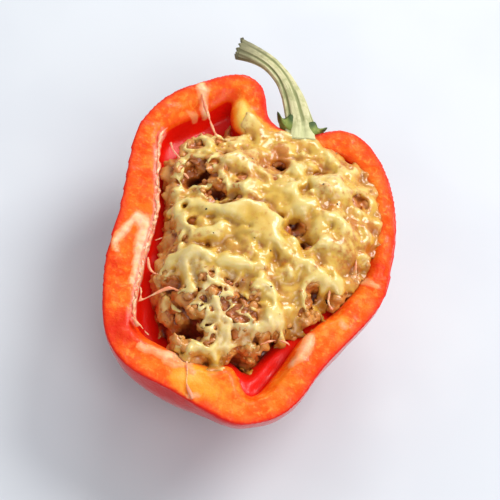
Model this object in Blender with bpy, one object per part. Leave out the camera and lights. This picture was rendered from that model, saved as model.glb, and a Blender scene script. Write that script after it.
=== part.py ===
"""Half of a red bell pepper, cut lengthwise through its stem, filled with minced meat and topped with melted
cheese. It lies on its back with the cut face up.

Metres, +Z up. The origin is on the flat spot that the pepper rests on, under its axis, and the stem is at +Y.
Control points are written in millimetres, with z measured up from the cut face.
"""

import math

import bmesh
import bpy
from mathutils import Matrix, Vector, geometry, noise

MM = 0.001

# Driving dimensions
CUT_HEIGHT = 38 * MM  # the cut face above the table
GAP = 0.35  # millimetres left between two pieces that touch
FLESH_RINGS = 40  # steps from the stem to the blossom end
FLESH_SPOKES = 20  # steps from one rim to the other under the pepper, an even number
SQUARENESS = 1.95  # exponent of the superellipse across the pepper, 2 being an ellipse

# The grooves between the lobes, in degrees below the right rim, with their depth as a share of the half width
GROOVE_ANGLES = (52, 121)
GROOVE_WIDTH = 11
GROOVE_DEPTH = 0.075
RIB_WIDTH = 7
RIB_DEPTH = 0.10

# The rim and the keel of the skin, each from the foot of the stem to the blossom end
SKIN_RIGHT = (
    (3, 44.5, 0), (10, 46, 0), (17, 50.5, 0), (25, 48.5, 0), (33, 40.5, 0), (39.5, 27, 0), (42.5, 10, 0),
    (42.5, -3, 0), (37.5, -15.5, 0), (31.5, -28, 0), (29, -37, 0), (24, -45.5, 0), (14.5, -51, 0), (6, -50, 0),
    (-2, -48, 0),
)
SKIN_LEFT = (
    (3, 44.5, 0), (-3.5, 45.5, 0), (-5.8, 50, 0), (-8, 56, 0), (-12, 59.5, 0), (-18, 59.5, 0), (-26, 54, 0),
    (-35.5, 45, 0), (-40.5, 32, 0), (-39.5, 20, 0), (-37, 3, 0), (-36, -12, 0), (-33.5, -23, 0), (-29.5, -34, 0),
    (-24, -41, 0), (-16.5, -44.8, 0), (-8, -46.4, 0), (-2, -48, 0),
)
SKIN_KEEL = (
    (3, 44.5, 0), (3, 45.2, -4), (2.5, 47.5, -9), (1.5, 51.5, -14), (0, 52, -22), (0, 45, -31), (0, 31, -37.8),
    (0, 12, -39.9), (0, -10, -39), (0, -26, -34.2), (-1, -37, -26), (-1.5, -44.5, -15.5), (-2, -48, -7), (-2, -48, 0),
)

# The same three lines for the cavity, whose horns reach into the tips of the lobes
CAVITY_RIGHT = (
    (3, 36.5, 0), (9, 38, 0), (16.5, 42, 0), (25, 39, 0), (32, 29, 0), (35.2, 14, 0), (34.5, 1, 0), (29, -10.5, 0),
    (23.5, -20, 0), (20, -29, 0), (17.3, -37, 0), (14.3, -41.5, 0), (10.5, -36.5, 0), (7, -33.2, 0), (3, -35, 0),
)
CAVITY_LEFT = (
    (3, 36.5, 0), (-5, 38, 0), (-12.5, 40, 0), (-16.3, 46, 0), (-16.5, 52.5, 0), (-21, 48, 0), (-26.5, 41.5, 0),
    (-32.5, 34, 0), (-32, 26, 0), (-29, 16, 0), (-26, 5, 0), (-25, -10, 0), (-23, -25, 0), (-19.5, -31.7, 0),
    (-12, -34, 0), (-4, -35.5, 0), (3, -35, 0),
)
CAVITY_KEEL = (
    (3, 36.5, 0), (3, 38, -6), (2, 42, -13), (0, 41, -22), (0, 28, -28.5), (0, 10, -31), (0, -12, -30.3),
    (0, -26, -26), (0, -35, -18), (0, -38, -10), (2, -37, -4), (3, -35, 0),
)

# The heap of meat, in millimetres over the cut face, and the pockets where it has sunk away from the wall
HEAP_EDGE = -3
HEAP_RISE = 10
HEAP_REACH = 10  # the distance from the wall over which most of the rise happens
HEAP_LUMP = 2.2
HEAP_LUMP_SIZE = 8
HEAP_CELL = 3.1
HEAP_CEILING = 16
POCKETS = (  # x, y, radius and depth
    (-19, -26, 6, 13), (18.5, -23, 4, 8), (15.5, -35, 7, 14), (30, -5, 3.5, 8), (-22, 43, 8, 11), (-31, 29, 4, 6),
    (-27, 0, 4, 7), (-25, -12, 4, 7),
)

# The melted cheese: its outline over the heap, the gaps where the meat shows, and its thickness
CHEESE_THICKNESS = 2.2
CHEESE_CELL = 3.1
CHEESE_CLIMB = 3  # how far from the wall the cheese starts to climb onto the cut face
CHEESE_OUTLINE = (
    (-4, 41), (3, 42), (11, 42.5), (19, 40.5), (26, 37), (32, 29), (34.5, 18), (34, 8), (30.5, -1), (27, -8),
    (20, -11), (14, -17), (10, -24), (8, -32), (1, -33), (-4.5, -30), (-5, -24), (-10, -18), (-17, -16), (-22, -12),
    (-20.5, -6), (-18, 0), (-19, 6), (-14, 10), (-16, 16), (-22, 22), (-26, 30), (-23, 36), (-14, 38),
)
CHEESE_GAPS = (  # x, y, half length, half width and turn in degrees
    (-12, 22, 5.5, 3.6, 20), (-4, 14, 3.6, 2.2, 10), (13, 10.7, 2.6, 2.1, 0), (19, 33, 2.8, 2.1, 40),
    (2, -17, 4.6, 2.8, 30), (3, 31, 3, 2.1, -30),
)
CURVE_STEPS = 48

# The half stem: x, y and z of its middle line, and its half width there
STEM_LINE = (
    (6.6, 42.5, -1.4, 5.6), (5, 47.5, -1, 4.6), (2.6, 52.2, -0.5, 3.9), (-0.5, 57.2, 0.1, 3.3),
    (-4.4, 61.6, 0.6, 2.8), (-9.2, 64.9, 1, 2.6), (-14, 66.4, 1.3, 2.9), (-19.5, 66.9, 1.6, 3.5),
)
STEM_STEPS = 18
STEM_SIDES = 24
STEM_RIDGES = 6
STEM_RIDGE_HEIGHT = 0.06  # of the stem's half width
STEM_FLATNESS = 0.5  # how far the cut side stands above the middle line, as a share of the half width

# The green calyx, half a star between the stem and the skin
CALYX_PLACE = (5, 46.2)
CALYX_RADIUS = 7.5
CALYX_THICKNESS = 2.6
CALYX_POINTS = 6
CALYX_POINT_LENGTH = 0.2  # of its radius
CALYX_DISH = 0.22  # how much it cups away from the stem
CALYX_DROP = 0.3  # how far its cut side lies below the cut face

FLESH_RED = (0.72, 0.07, 0.01)
STEM_GREEN = (0.42, 0.38, 0.17)
MINCE_BROWN = (0.42, 0.2, 0.07)
CHEESE_YELLOW = (0.83, 0.6, 0.2)


def clear_scene():
    for old in list(bpy.data.objects):
        bpy.data.objects.remove(old)


def new_collection(name):
    made = bpy.data.collections.new(name)
    bpy.context.scene.collection.children.link(made)
    return made


def new_material(name, colour, roughness):
    made = bpy.data.materials.new(name)
    made.use_nodes = True
    shader = made.node_tree.nodes["Principled BSDF"]
    shader.inputs["Base Color"].default_value = (*colour, 1)
    shader.inputs["Roughness"].default_value = roughness
    shader.inputs["Metallic"].default_value = 0
    return made


def mesh_object(name, bm, collection, material=None):
    """Turns a bmesh in millimetres over the cut face into an object in metres over the table."""
    for vert in bm.verts:
        vert.co = vert.co * MM + Vector((0, 0, CUT_HEIGHT))
    bmesh.ops.recalc_face_normals(bm, faces=bm.faces)
    bmesh.ops.triangulate(bm, faces=bm.faces)
    mesh = bpy.data.meshes.new(name)
    bm.to_mesh(mesh)
    bm.free()
    mesh.shade_smooth()
    mesh.set_sharp_from_angle(angle=math.radians(50))
    made = bpy.data.objects.new(name, mesh)
    collection.objects.link(made)
    if material:
        mesh.materials.append(material)
    return made


def boolean(target, cutter, operation):
    modifier = target.modifiers.new(operation.title(), "BOOLEAN")
    modifier.operation = operation
    modifier.object = cutter
    modifier.solver = "EXACT"
    cutter.hide_render = True
    cutter.display_type = "WIRE"


def smooth_path(points, steps, closed=False):
    """steps + 1 places, evenly spaced along a Catmull-Rom curve through the points."""
    points = [Vector(point) for point in points]
    count = len(points)
    if closed:
        knots = [points[i % count] for i in range(-1, count + 2)]
    else:
        knots = [2 * points[0] - points[1], *points, 2 * points[-1] - points[-2]]
    dense = [knots[1]]
    for before, start, end, after in zip(knots, knots[1:], knots[2:], knots[3:]):
        dense += bezier(start, start + (end - before) / 6, end - (after - start) / 6, end, 12)
    lengths = [0.0]
    for a, b in zip(dense, dense[1:]):
        lengths.append(lengths[-1] + (b - a).length)
    places = []
    at = 0
    for step in range(steps + 1):
        wanted = lengths[-1] * step / steps
        while at < len(dense) - 2 and lengths[at + 1] < wanted:
            at += 1
        share = (wanted - lengths[at]) / (lengths[at + 1] - lengths[at])
        places.append(dense[at].lerp(dense[at + 1], share))
    return places


def bezier(start, start_handle, end_handle, end, steps):
    """Places after the start along one cubic curve, in any number of dimensions."""
    places = []
    for step in range(1, steps + 1):
        s = step / steps
        r = 1 - s
        places.append(r**3 * start + 3 * r * r * s * start_handle + 3 * r * s * s * end_handle + s**3 * end)
    return places


def lobe_scale(angle, along, width, depth):
    """How much nearer to the middle the wall stands at a groove or a rib. It fades out at both ends."""
    nearest = min(abs(angle - groove) for groove in GROOVE_ANGLES)
    return 1 - depth * math.sin(math.pi * along) ** 0.4 * math.exp(-((nearest / width) ** 2))


def half_shell(bm, lines, width, depth):
    """Adds an open half shell to the bmesh, stretched between a right rim, a left rim and a keel.

    It starts as a ball whose poles are the stem and the blossom end. Its open edge lies in the cut face.
    """
    right, left, keel = (smooth_path(line, FLESH_RINGS) for line in lines)
    made = bmesh.ops.create_uvsphere(bm, u_segments=2 * FLESH_SPOKES, v_segments=FLESH_RINGS, radius=1)["verts"]
    bmesh.ops.delete(bm, geom=[vert for vert in made if vert.co.y > 1e-4], context="VERTS")
    made = [vert for vert in made if vert.is_valid]
    for vert in made:
        ring = round(math.acos(max(-1, min(1, vert.co.z))) / math.pi * FLESH_RINGS)
        below = math.atan2(abs(vert.co.y), vert.co.x) if 0 < ring < FLESH_RINGS else 0
        side = right[ring] if below < math.pi / 2 else left[ring]
        across = abs(math.cos(below)) ** (2 / SQUARENESS)
        down = math.sin(below) ** (2 / SQUARENESS)
        scale = lobe_scale(math.degrees(below), ring / FLESH_RINGS, width, depth)
        middle = keel[ring]
        vert.co.x = middle.x + (side.x - middle.x) * across * scale
        vert.co.y = middle.y + (side.y - middle.y) * across**2
        vert.co.z = middle.z * down * scale
    return made


def skin_half(bm):
    """The skin, pressed flat where it would reach below the table, as the soft pepper's own weight does."""
    for vert in half_shell(bm, (SKIN_RIGHT, SKIN_LEFT, SKIN_KEEL), GROOVE_WIDTH, GROOVE_DEPTH):
        vert.co.z = max(vert.co.z, -CUT_HEIGHT / MM)


def cavity_half(bm):
    half_shell(bm, (CAVITY_RIGHT, CAVITY_LEFT, CAVITY_KEEL), RIB_WIDTH, RIB_DEPTH)


def open_edges(bm):
    return [edge for edge in bm.edges if edge.is_boundary]


def make_shell(collection, material):
    """The flesh with its skin: two half shells joined by the cut face."""
    bm = bmesh.new()
    skin_half(bm)
    cavity_half(bm)
    bmesh.ops.triangle_fill(bm, use_beauty=True, edges=open_edges(bm), normal=(0, 0, 1))
    return mesh_object("pepper_shell", bm, collection, material)


def closed_half(name, add_half, offset, ceiling, collection):
    """A half shell closed by a raised copy of itself over the cut face, with all of its wall moved by offset."""
    bm = bmesh.new()
    add_half(bm)
    copied = bmesh.ops.duplicate(bm, geom=bm.faces[:])["geom"]
    upper = [item for item in copied if isinstance(item, bmesh.types.BMVert)]
    lowest = min(vert.co.z for vert in upper)
    for vert in upper:
        vert.co.z *= ceiling / lowest
    bmesh.ops.remove_doubles(bm, verts=bm.verts, dist=0.001)
    bmesh.ops.recalc_face_normals(bm, faces=bm.faces)
    bm.normal_update()
    for vert, normal in [(vert, vert.normal.copy()) for vert in bm.verts]:
        vert.co += normal * offset
    return mesh_object(name, bm, collection)


def cavity_edge():
    """The cavity's outline in the cut face, as a closed ring of 2D places."""
    right = smooth_path(CAVITY_RIGHT, FLESH_RINGS)
    left = smooth_path(CAVITY_LEFT, FLESH_RINGS)
    return [place.to_2d() for place in right[:-1] + left[:0:-1]]


def depth_inside(place, ring):
    """The distance from a place to a closed ring, positive inside it."""
    nearest = math.inf
    inside = False
    for a, b in zip(ring, ring[1:] + ring[:1]):
        share = geometry.intersect_point_line(place, a, b)[1]
        foot = a.lerp(b, min(1, max(0, share)))
        nearest = min(nearest, (place - foot).length)
        if (a.y > place.y) != (b.y > place.y):
            if place.x < a.x + (b.x - a.x) * (place.y - a.y) / (b.y - a.y):
                inside = not inside
    return nearest if inside else -nearest


def heap_height(place, depth):
    """The top of the meat over the cut face, at a place so deep inside the cavity's edge."""
    height = HEAP_EDGE + HEAP_RISE * (1 - math.exp(-max(depth, 0) / HEAP_REACH))
    height += HEAP_LUMP * noise.noise(Vector((place.x, place.y, 0)) / HEAP_LUMP_SIZE)
    for x, y, radius, drop in POCKETS:
        height -= drop * math.exp(-((place - Vector((x, y))).length / radius) ** 2)
    return height


def cheese_floor(place, depth):
    """What the cheese lies on: the meat, or the cut face where it has run over the wall."""
    meat = heap_height(place, depth)
    on_wall = min(1, max(0, 1 - (depth - 1) / CHEESE_CLIMB))
    return meat + (max(meat, 0) - meat) * on_wall


def height_field(cell, height, ring):
    """A block over the whole pepper with a given floor. Returns its bmesh and the verts of its top."""
    bm = bmesh.new()
    half_size = 62
    count = round(2 * half_size / cell)
    for vert in bmesh.ops.create_grid(bm, x_segments=count, y_segments=count, size=half_size)["verts"]:
        place = vert.co.to_2d()
        vert.co.z = height(place, depth_inside(place, ring))
    raised = bmesh.ops.extrude_face_region(bm, geom=bm.faces[:])["geom"]
    return bm, [item for item in raised if isinstance(item, bmesh.types.BMVert)]


def make_filling(collection, cutters, material, ring):
    """The heap of meat: the room in the cavity, less what lies over the heap."""
    filling = closed_half("meat_filling", cavity_half, -GAP, HEAP_CEILING, collection)
    filling.data.materials.append(material)
    bm, top = height_field(HEAP_CELL, heap_height, ring)
    for vert in top:
        vert.co.z = 2 * HEAP_CEILING
    boolean(filling, mesh_object("over_the_heap", bm, cutters), "DIFFERENCE")
    return filling


def ring_curve(points, steps):
    return [place.to_2d() for place in smooth_path(points, steps, closed=True)[:-1]]


def oval(x, y, half_length, half_width, turn):
    """A closed oval of 2D places, turned about its middle."""
    steps = 14
    turning = Matrix.Rotation(math.radians(turn), 2)
    angles = [math.tau * step / steps for step in range(steps)]
    arms = [Vector((half_length * math.cos(angle), half_width * math.sin(angle))) for angle in angles]
    return [Vector((x, y)) + turning @ arm for arm in arms]


def prism(name, outlines, half_height, collection):
    """A prism through the cut face from closed outlines, where an outline inside another is a hole."""
    curve = bpy.data.curves.new(name, "CURVE")
    curve.dimensions = "2D"
    curve.fill_mode = "BOTH"
    curve.extrude = half_height * MM
    for outline in outlines:
        spline = curve.splines.new("POLY")
        spline.points.add(len(outline) - 1)
        for point, place in zip(spline.points, outline):
            point.co = (place.x * MM, place.y * MM, 0, 1)
        spline.use_cyclic_u = True
    drawn = bpy.data.objects.new(name, curve)
    drawn.location.z = CUT_HEIGHT
    collection.objects.link(drawn)
    bpy.context.view_layer.update()
    mesh = bpy.data.meshes.new_from_object(drawn.evaluated_get(bpy.context.evaluated_depsgraph_get()))
    bm = bmesh.new()
    bm.from_mesh(mesh)
    bmesh.ops.remove_doubles(bm, verts=bm.verts, dist=1e-6)
    bmesh.ops.recalc_face_normals(bm, faces=bm.faces)
    bm.to_mesh(mesh)
    bm.free()
    made = bpy.data.objects.new(name, mesh)
    made.matrix_world = drawn.matrix_world.copy()
    bpy.data.objects.remove(drawn)
    collection.objects.link(made)
    return made


def make_cheese(collection, cutters, material, ring):
    """The melted cheese: a layer that follows the heap, trimmed to its outline and its gaps."""
    bm, top = height_field(CHEESE_CELL, cheese_floor, ring)
    for vert in top:
        vert.co.z += CHEESE_THICKNESS
    for vert in bm.verts:
        vert.co.z += 2 * GAP
    cheese = mesh_object("melted_cheese", bm, collection, material)
    outlines = [ring_curve(CHEESE_OUTLINE, CURVE_STEPS)] + [oval(*gap) for gap in CHEESE_GAPS]
    boolean(cheese, prism("cheese_trim", outlines, 2 * HEAP_CEILING, cutters), "INTERSECT")
    return cheese


def make_calyx(cutters):
    """Half of the dished green star that the stem grows from. Its flat side is the cut face."""
    bm = bmesh.new()
    bmesh.ops.create_cone(
        bm, cap_ends=True, segments=6 * CALYX_POINTS, radius1=CALYX_RADIUS, radius2=0.75 * CALYX_RADIUS,
        depth=CALYX_THICKNESS,
    )
    bmesh.ops.rotate(bm, verts=bm.verts, matrix=Matrix.Rotation(math.radians(-90), 3, "X"))
    for vert in bm.verts:
        angle = math.atan2(vert.co.z, vert.co.x)
        stretch = 1 + CALYX_POINT_LENGTH * math.cos(CALYX_POINTS * angle)
        vert.co.x *= stretch
        vert.co.z *= stretch
        vert.co.y += CALYX_DISH * math.hypot(vert.co.x, vert.co.z)
        vert.co += Vector((CALYX_PLACE[0], CALYX_PLACE[1], 0))
    whole_star = bm.verts[:] + bm.edges[:] + bm.faces[:]
    cut = bmesh.ops.bisect_plane(
        bm, geom=whole_star, plane_co=(0, 0, -CALYX_DROP), plane_no=(0, 0, 1), clear_outer=True
    )["geom_cut"]
    bmesh.ops.holes_fill(bm, edges=[item for item in cut if isinstance(item, bmesh.types.BMEdge)])
    return mesh_object("calyx", bm, cutters)


def make_stem(collection, cutters, material):
    """The half stem with its calyx, trimmed to the skin that they grow from."""
    bm = bmesh.new()
    places = smooth_path(STEM_LINE, STEM_STEPS)
    for i, place in enumerate(places):
        ahead = (places[min(i + 1, STEM_STEPS)] - places[max(i - 1, 0)]).to_3d().normalized()
        across = ahead.cross(Vector((0, 0, 1))).normalized()
        up = across.cross(ahead)
        for vert in bmesh.ops.create_circle(bm, segments=STEM_SIDES, radius=1)["verts"]:
            angle = math.atan2(vert.co.y, vert.co.x)
            reach = place.w * (1 + STEM_RIDGE_HEIGHT * math.cos(STEM_RIDGES * angle))
            height = math.sin(angle) * (STEM_FLATNESS if angle > 0 else 1)
            vert.co = place.to_3d() + (across * math.cos(angle) + up * height) * reach
    bmesh.ops.bridge_loops(bm, edges=bm.edges[:])
    bmesh.ops.holes_fill(bm, edges=open_edges(bm))
    stem = mesh_object("stem", bm, collection, material)
    boolean(stem, make_calyx(cutters), "UNION")
    boolean(stem, closed_half("skin_trim", skin_half, GAP, HEAP_CEILING, cutters), "DIFFERENCE")
    return stem


def main():
    clear_scene()
    parts = new_collection("stuffed_bell_pepper")
    cutters = new_collection("cutters")
    ring = cavity_edge()
    make_shell(parts, new_material("red_flesh", FLESH_RED, 0.3))
    make_filling(parts, cutters, new_material("browned_mince", MINCE_BROWN, 0.5), ring)
    make_cheese(parts, cutters, new_material("melted_cheese", CHEESE_YELLOW, 0.35), ring)
    make_stem(parts, cutters, new_material("dried_stem", STEM_GREEN, 0.65))


main()
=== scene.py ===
import math
import random

import bmesh
import bpy
import numpy as np
from bpy.props import FloatProperty, FloatVectorProperty, IntProperty, PointerProperty
from mathutils import Matrix, Vector, noise
from mathutils.bvhtree import BVHTree


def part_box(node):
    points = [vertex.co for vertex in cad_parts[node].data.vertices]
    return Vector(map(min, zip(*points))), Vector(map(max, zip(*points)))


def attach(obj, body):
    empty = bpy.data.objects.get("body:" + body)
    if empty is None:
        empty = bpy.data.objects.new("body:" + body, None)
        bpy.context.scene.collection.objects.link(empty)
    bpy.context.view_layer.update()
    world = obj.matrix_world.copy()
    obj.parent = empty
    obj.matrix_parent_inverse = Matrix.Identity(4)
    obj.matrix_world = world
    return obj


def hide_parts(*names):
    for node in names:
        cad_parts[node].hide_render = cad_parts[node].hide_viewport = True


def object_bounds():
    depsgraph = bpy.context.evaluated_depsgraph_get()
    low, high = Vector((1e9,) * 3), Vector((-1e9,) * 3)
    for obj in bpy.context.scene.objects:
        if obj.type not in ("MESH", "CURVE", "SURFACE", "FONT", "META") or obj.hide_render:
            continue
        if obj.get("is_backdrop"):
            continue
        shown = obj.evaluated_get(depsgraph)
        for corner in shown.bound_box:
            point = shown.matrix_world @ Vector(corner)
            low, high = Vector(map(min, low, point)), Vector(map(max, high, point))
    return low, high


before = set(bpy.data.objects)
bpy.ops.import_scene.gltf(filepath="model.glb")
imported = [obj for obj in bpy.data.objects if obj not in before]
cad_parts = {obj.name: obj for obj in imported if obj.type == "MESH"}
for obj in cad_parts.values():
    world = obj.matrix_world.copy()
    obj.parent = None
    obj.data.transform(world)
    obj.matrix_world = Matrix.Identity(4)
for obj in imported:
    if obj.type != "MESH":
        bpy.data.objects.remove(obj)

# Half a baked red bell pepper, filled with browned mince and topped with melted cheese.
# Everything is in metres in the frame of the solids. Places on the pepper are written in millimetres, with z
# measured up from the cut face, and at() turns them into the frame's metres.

bl_info = {
    "name": "Stuffed bell pepper",
    "version": (1, 0, 0),
    "blender": (4, 5, 0),
    "location": "3D View > Sidebar > Pepper",
    "description": "Builds half a baked bell pepper filled with mince and topped with melted cheese",
    "category": "Object",
}

MM = 0.001
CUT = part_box("pepper_shell")[1].z  # the height of the cut face
SEED = 7
SPECK_FACES = 40  # loose bits of a remeshed piece with fewer faces than this are dropped

# Where the flesh of the cut face is paler (above zero) or redder (below zero): x, y, radius and amount
FLESH_PATCHES = (
    (-14, 49.5, 1.8, 1.5), (-12.4, 46.5, 2.8, 1.5), (-10, 43, 3.6, 1.6), (-6.5, 41, 4, 1.2),
    (-16.5, 44, 2, -0.8), (4, 41, 7, 1.4), (0, -42, 8, 0.75), (-4, -40, 5, 0.6), (8, -44, 5, 0.45),
    (-37, 25, 3.5, -0.5), (-34.5, 0, 4, -0.55), (-32, -14, 4, -0.6), (-24, -33, 8, -0.9), (37, 8, 5, -0.75),
    (38, -8, 4, -0.4), (-8, 57, 5, -0.8), (-4, 50, 4, -0.9), (28, -16, 5, 0.3), (33.5, -11, 3, 0.6),
    (19, -27, 2.4, -1.2), (17.5, -32, 2.4, -1.2), (14, -37, 2.2, -1), (30, -8, 2, -0.8), (24, -32, 5, 0.2),
    (-24, 47, 5, 0.15), (-20, 52, 6, 0.1),
)

# Where the inner edge of the cut face slopes down into the cavity: x, y, radius and drop
SLOPES = (
    (-22, 44, 9, 3.2), (-30, 33, 5, 1.5), (20, -29, 6, 3.2), (16, -37, 5, 2.6), (33, 8, 10, 1.2),
    (0, -36, 8, 1.4), (-20, -30, 6, 1.0), (29, -8, 4, 1.6),
)

# The mince's outline. It has shrunk away from the wall on the left and at the two lower corners.
MINCE_EDGE = (
    (-16, 38.5), (-6, 40), (4, 39), (12, 41), (20, 42), (28, 38), (34, 30), (37, 18), (36.5, 6), (34, -1),
    (30.5, -3.5), (28.2, -6), (28.5, -9.5), (30, -11), (25, -18), (19.5, -20.5), (15.5, -24.5), (13.6, -30),
    (12.6, -35), (9.5, -38), (6, -37), (0, -38), (-6, -37), (-10, -35), (-9, -31), (-13, -27), (-17, -22.5),
    (-20, -18), (-20.5, -13.5), (-18.5, -9), (-19.5, -3), (-21.5, 3), (-23.5, 8), (-25, 14), (-26, 20),
    (-26.8, 26), (-25.5, 31), (-21, 35),
)

# Hollows in the mince: x, y, radius and depth
HOLLOWS = (
    (-18, 19.5, 3.2, 6), (-11.3, 14.6, 2.4, 5), (13.3, 10.3, 2.4, 7), (17.2, 5.6, 1.8, 6),
    (-6.5, -28, 3.6, 9), (8, -33, 2.8, 8), (-15.3, 3, 1.3, 5), (-19, 7.8, 0.9, 4), (-1, -36, 2, 5),
    (-15, -16, 2.4, 4), (15, 30.8, 1.8, 5), (3, 30.5, 2.4, 3), (28.5, 26, 2.5, 4), (22.5, -7, 1.8, 3),
    (-6, 12.5, 1.8, 3), (13, -25, 1.3, 4),
)

# Where hardly any cheese covers the mince: x, y, radius and amount
BARE = (
    (-20, 19, 6, 1.2), (-11, 14.5, 3.5, 1), (-18, -15.5, 4.5, 0.8), (-7, -27, 4, 0.8), (9, -31, 4, 1),
    (26, -9, 3.5, 0.6), (-13, -26, 5, 0.8), (6, -15, 5, 0.5), (-3, -21, 9, 1.1), (13, 9, 3, 0.6),
    (8, -20, 4, 0.5), (18, -14, 3, 0.5),
)

# The melted cheese, as strokes: thickness, then x, y and half width along the stroke
BLANKETS = (
    (1.8, ((-12, 38.5, 3), (-7, 34, 6), (-7, 29, 6), (-8, 25.5, 4.5))),
    (1.1, ((-11.5, 44.5, 1.4), (-9, 42, 3), (-4.5, 39.5, 4), (1, 38, 3.6))),
    (1.5, ((-5, 25, 4), (0, 22.5, 3.5), (4, 21, 3))),
    (1.5, ((-4, 38, 4), (3, 39, 4.5), (9, 39, 4.5), (15, 38.5, 4))),
    (1.3, ((2, 42, 3), (6, 43, 3.6), (10.5, 42.4, 3))),
    (1.9, ((16, 38.5, 3.4), (21, 33.5, 3.4), (24, 28, 4.5))),
    (2.0, ((8, 32, 3), (7.8, 26, 2.6), (9, 20, 3.5), (14, 17, 3.6))),
    (1.8, ((14, 26, 5), (20, 27, 5), (25, 22, 4.5))),
    (1.9, ((-1, 18.5, 4), (6, 17, 4), (12, 15, 3.4))),
    (2.2, ((19, 14, 4), (25, 14, 4.5), (32, 15, 4.2))),
    (1.2, ((33, 20, 3.5), (30, 27, 3.6), (25, 33, 3.4), (20, 38, 3))),
    (1.8, ((20, 10, 4.2), (26, 9, 4.2), (33, 8, 3.2))),
    (3.0, ((-20.5, 6.6, 2.9), (-14, 8, 3), (-6, 8.5, 4.2), (2, 8.6, 4.6), (8, 6.6, 3.4))),
    (2.2, ((-18, 4, 2.2), (-13, -0.5, 3), (-7, 1.5, 2.6), (0, 3.5, 2.4))),
    (2.4, ((4, 3, 3), (10, 2.5, 3.4), (16, 0, 4), (22, -2, 3.6), (26, -4, 2.6))),
    (1.4, ((0, -1.5, 2.6), (8, -3.5, 4), (15, -5, 3.6), (20, -6, 2.4))),
    (2.5, ((-17.5, -12, 2.2), (-13.5, -8, 3.6), (-7, -7.3, 2.8), (0, -7.5, 2.6), (5, -8.4, 2))),
    (1.6, ((-13.5, -12, 2.4), (-11, -15.5, 2.4), (-9.5, -18.5, 1.8))),
    (2.2, ((9, -8.6, 1.8), (12, -11.5, 2), (14.4, -15, 1.6))),
    (1.9, ((13.5, -17.5, 2.2), (16, -20.5, 2.8), (19, -22, 1.7))),
    (2.3, ((2.5, -25.8, 1.7), (3.4, -29.5, 2.7), (2.4, -33.4, 1.9))),
    (1.5, ((24.5, 4, 1.6), (28, 0.5, 1.8), (29, -3.2, 1.5))),
    (1.2, ((-20, 32.5, 1.8), (-18, 29, 1.8), (-15.5, 25.5, 1.6))),
    (1.2, ((-24.5, 27, 1.3), (-21.5, 27.8, 1.5), (-18.5, 26, 1.4))),
    (0.9, ((-5, 34, 6), (6, 31, 7), (17, 31, 7), (27, 26, 6))),
    (1.0, ((8, 20, 6), (20, 19, 9), (31, 15, 6))),
    (0.9, ((-19, 5, 4), (-7, 3, 6), (6, 1, 8), (18, 3, 8), (27, 4, 6))),
    (0.9, ((-15, -9, 4), (-4, -6, 5), (8, -8, 7), (16, -12, 5), (17, -18, 4))),
)

# Folds and half-melted shreds that stand on the cheese or the mince: height, then x, y and half width
RIDGES = (
    (1.0, ((12.4, 33.3, 1.1), (9, 31.8, 1.5), (8, 27.5, 1), (8.6, 22, 1.1), (11, 19, 0.9))),
    (0.9, ((10.5, 0.6, 0.6), (13, -2.6, 0.8), (16, -6.2, 0.6))),
    (1.1, (
        (-12.6, -11.4, 1), (-9.8, -13.3, 1.3), (-6.8, -16.2, 1.3), (-3.7, -18.7, 1.2), (-0.4, -21.4, 1.1),
        (2.6, -23.2, 0.8),
    )),
    (0.9, ((15, 19.8, 0.9), (17.6, 17.6, 1.1), (20, 15, 0.9))),
    (0.9, ((23, 17, 0.9), (25.5, 15, 1.5), (26.5, 12, 0.9))),
    (0.8, ((-22.6, 6.5, 0.9), (-20.5, 8.6, 1), (-17.8, 8.8, 0.8))),
    (0.8, ((-17.4, 4.4, 0.6), (-16.4, 1.4, 0.6), (-14.6, -0.8, 0.6))),
    (0.8, ((24.6, 1.8, 0.7), (27, -1, 0.9), (27.6, -4, 0.8), (26.5, -7.5, 0.7))),
    (0.9, ((2.4, -5.2, 0.8), (4.4, -6.8, 0.8), (5.8, -8.6, 0.6))),
    (0.9, ((8, -7.6, 0.9), (11.4, -10.6, 1), (14.2, -13.6, 0.8))),
    (0.8, ((13, -17, 0.7), (13.6, -19.6, 0.8), (16.4, -22.8, 0.8), (19.6, -23, 0.6))),
    (0.7, ((-20.4, 33.2, 0.8), (-18.6, 31, 0.9), (-17.4, 28.6, 0.7))),
    (0.7, ((-26, 27, 0.5), (-23.6, 28.6, 0.6), (-21, 27.6, 0.6), (-20.4, 25.8, 0.5))),
    (0.7, ((25, 27, 0.6), (27.4, 24.4, 0.7), (29.8, 21.6, 0.5))),
    (0.7, ((-8.3, -22.2, 0.5), (-7.2, -23.8, 0.8), (-4.4, -26.2, 0.5))),
    (0.8, ((1, -26, 0.7), (0.6, -29, 0.7), (1.6, -33, 0.6))),
)

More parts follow.
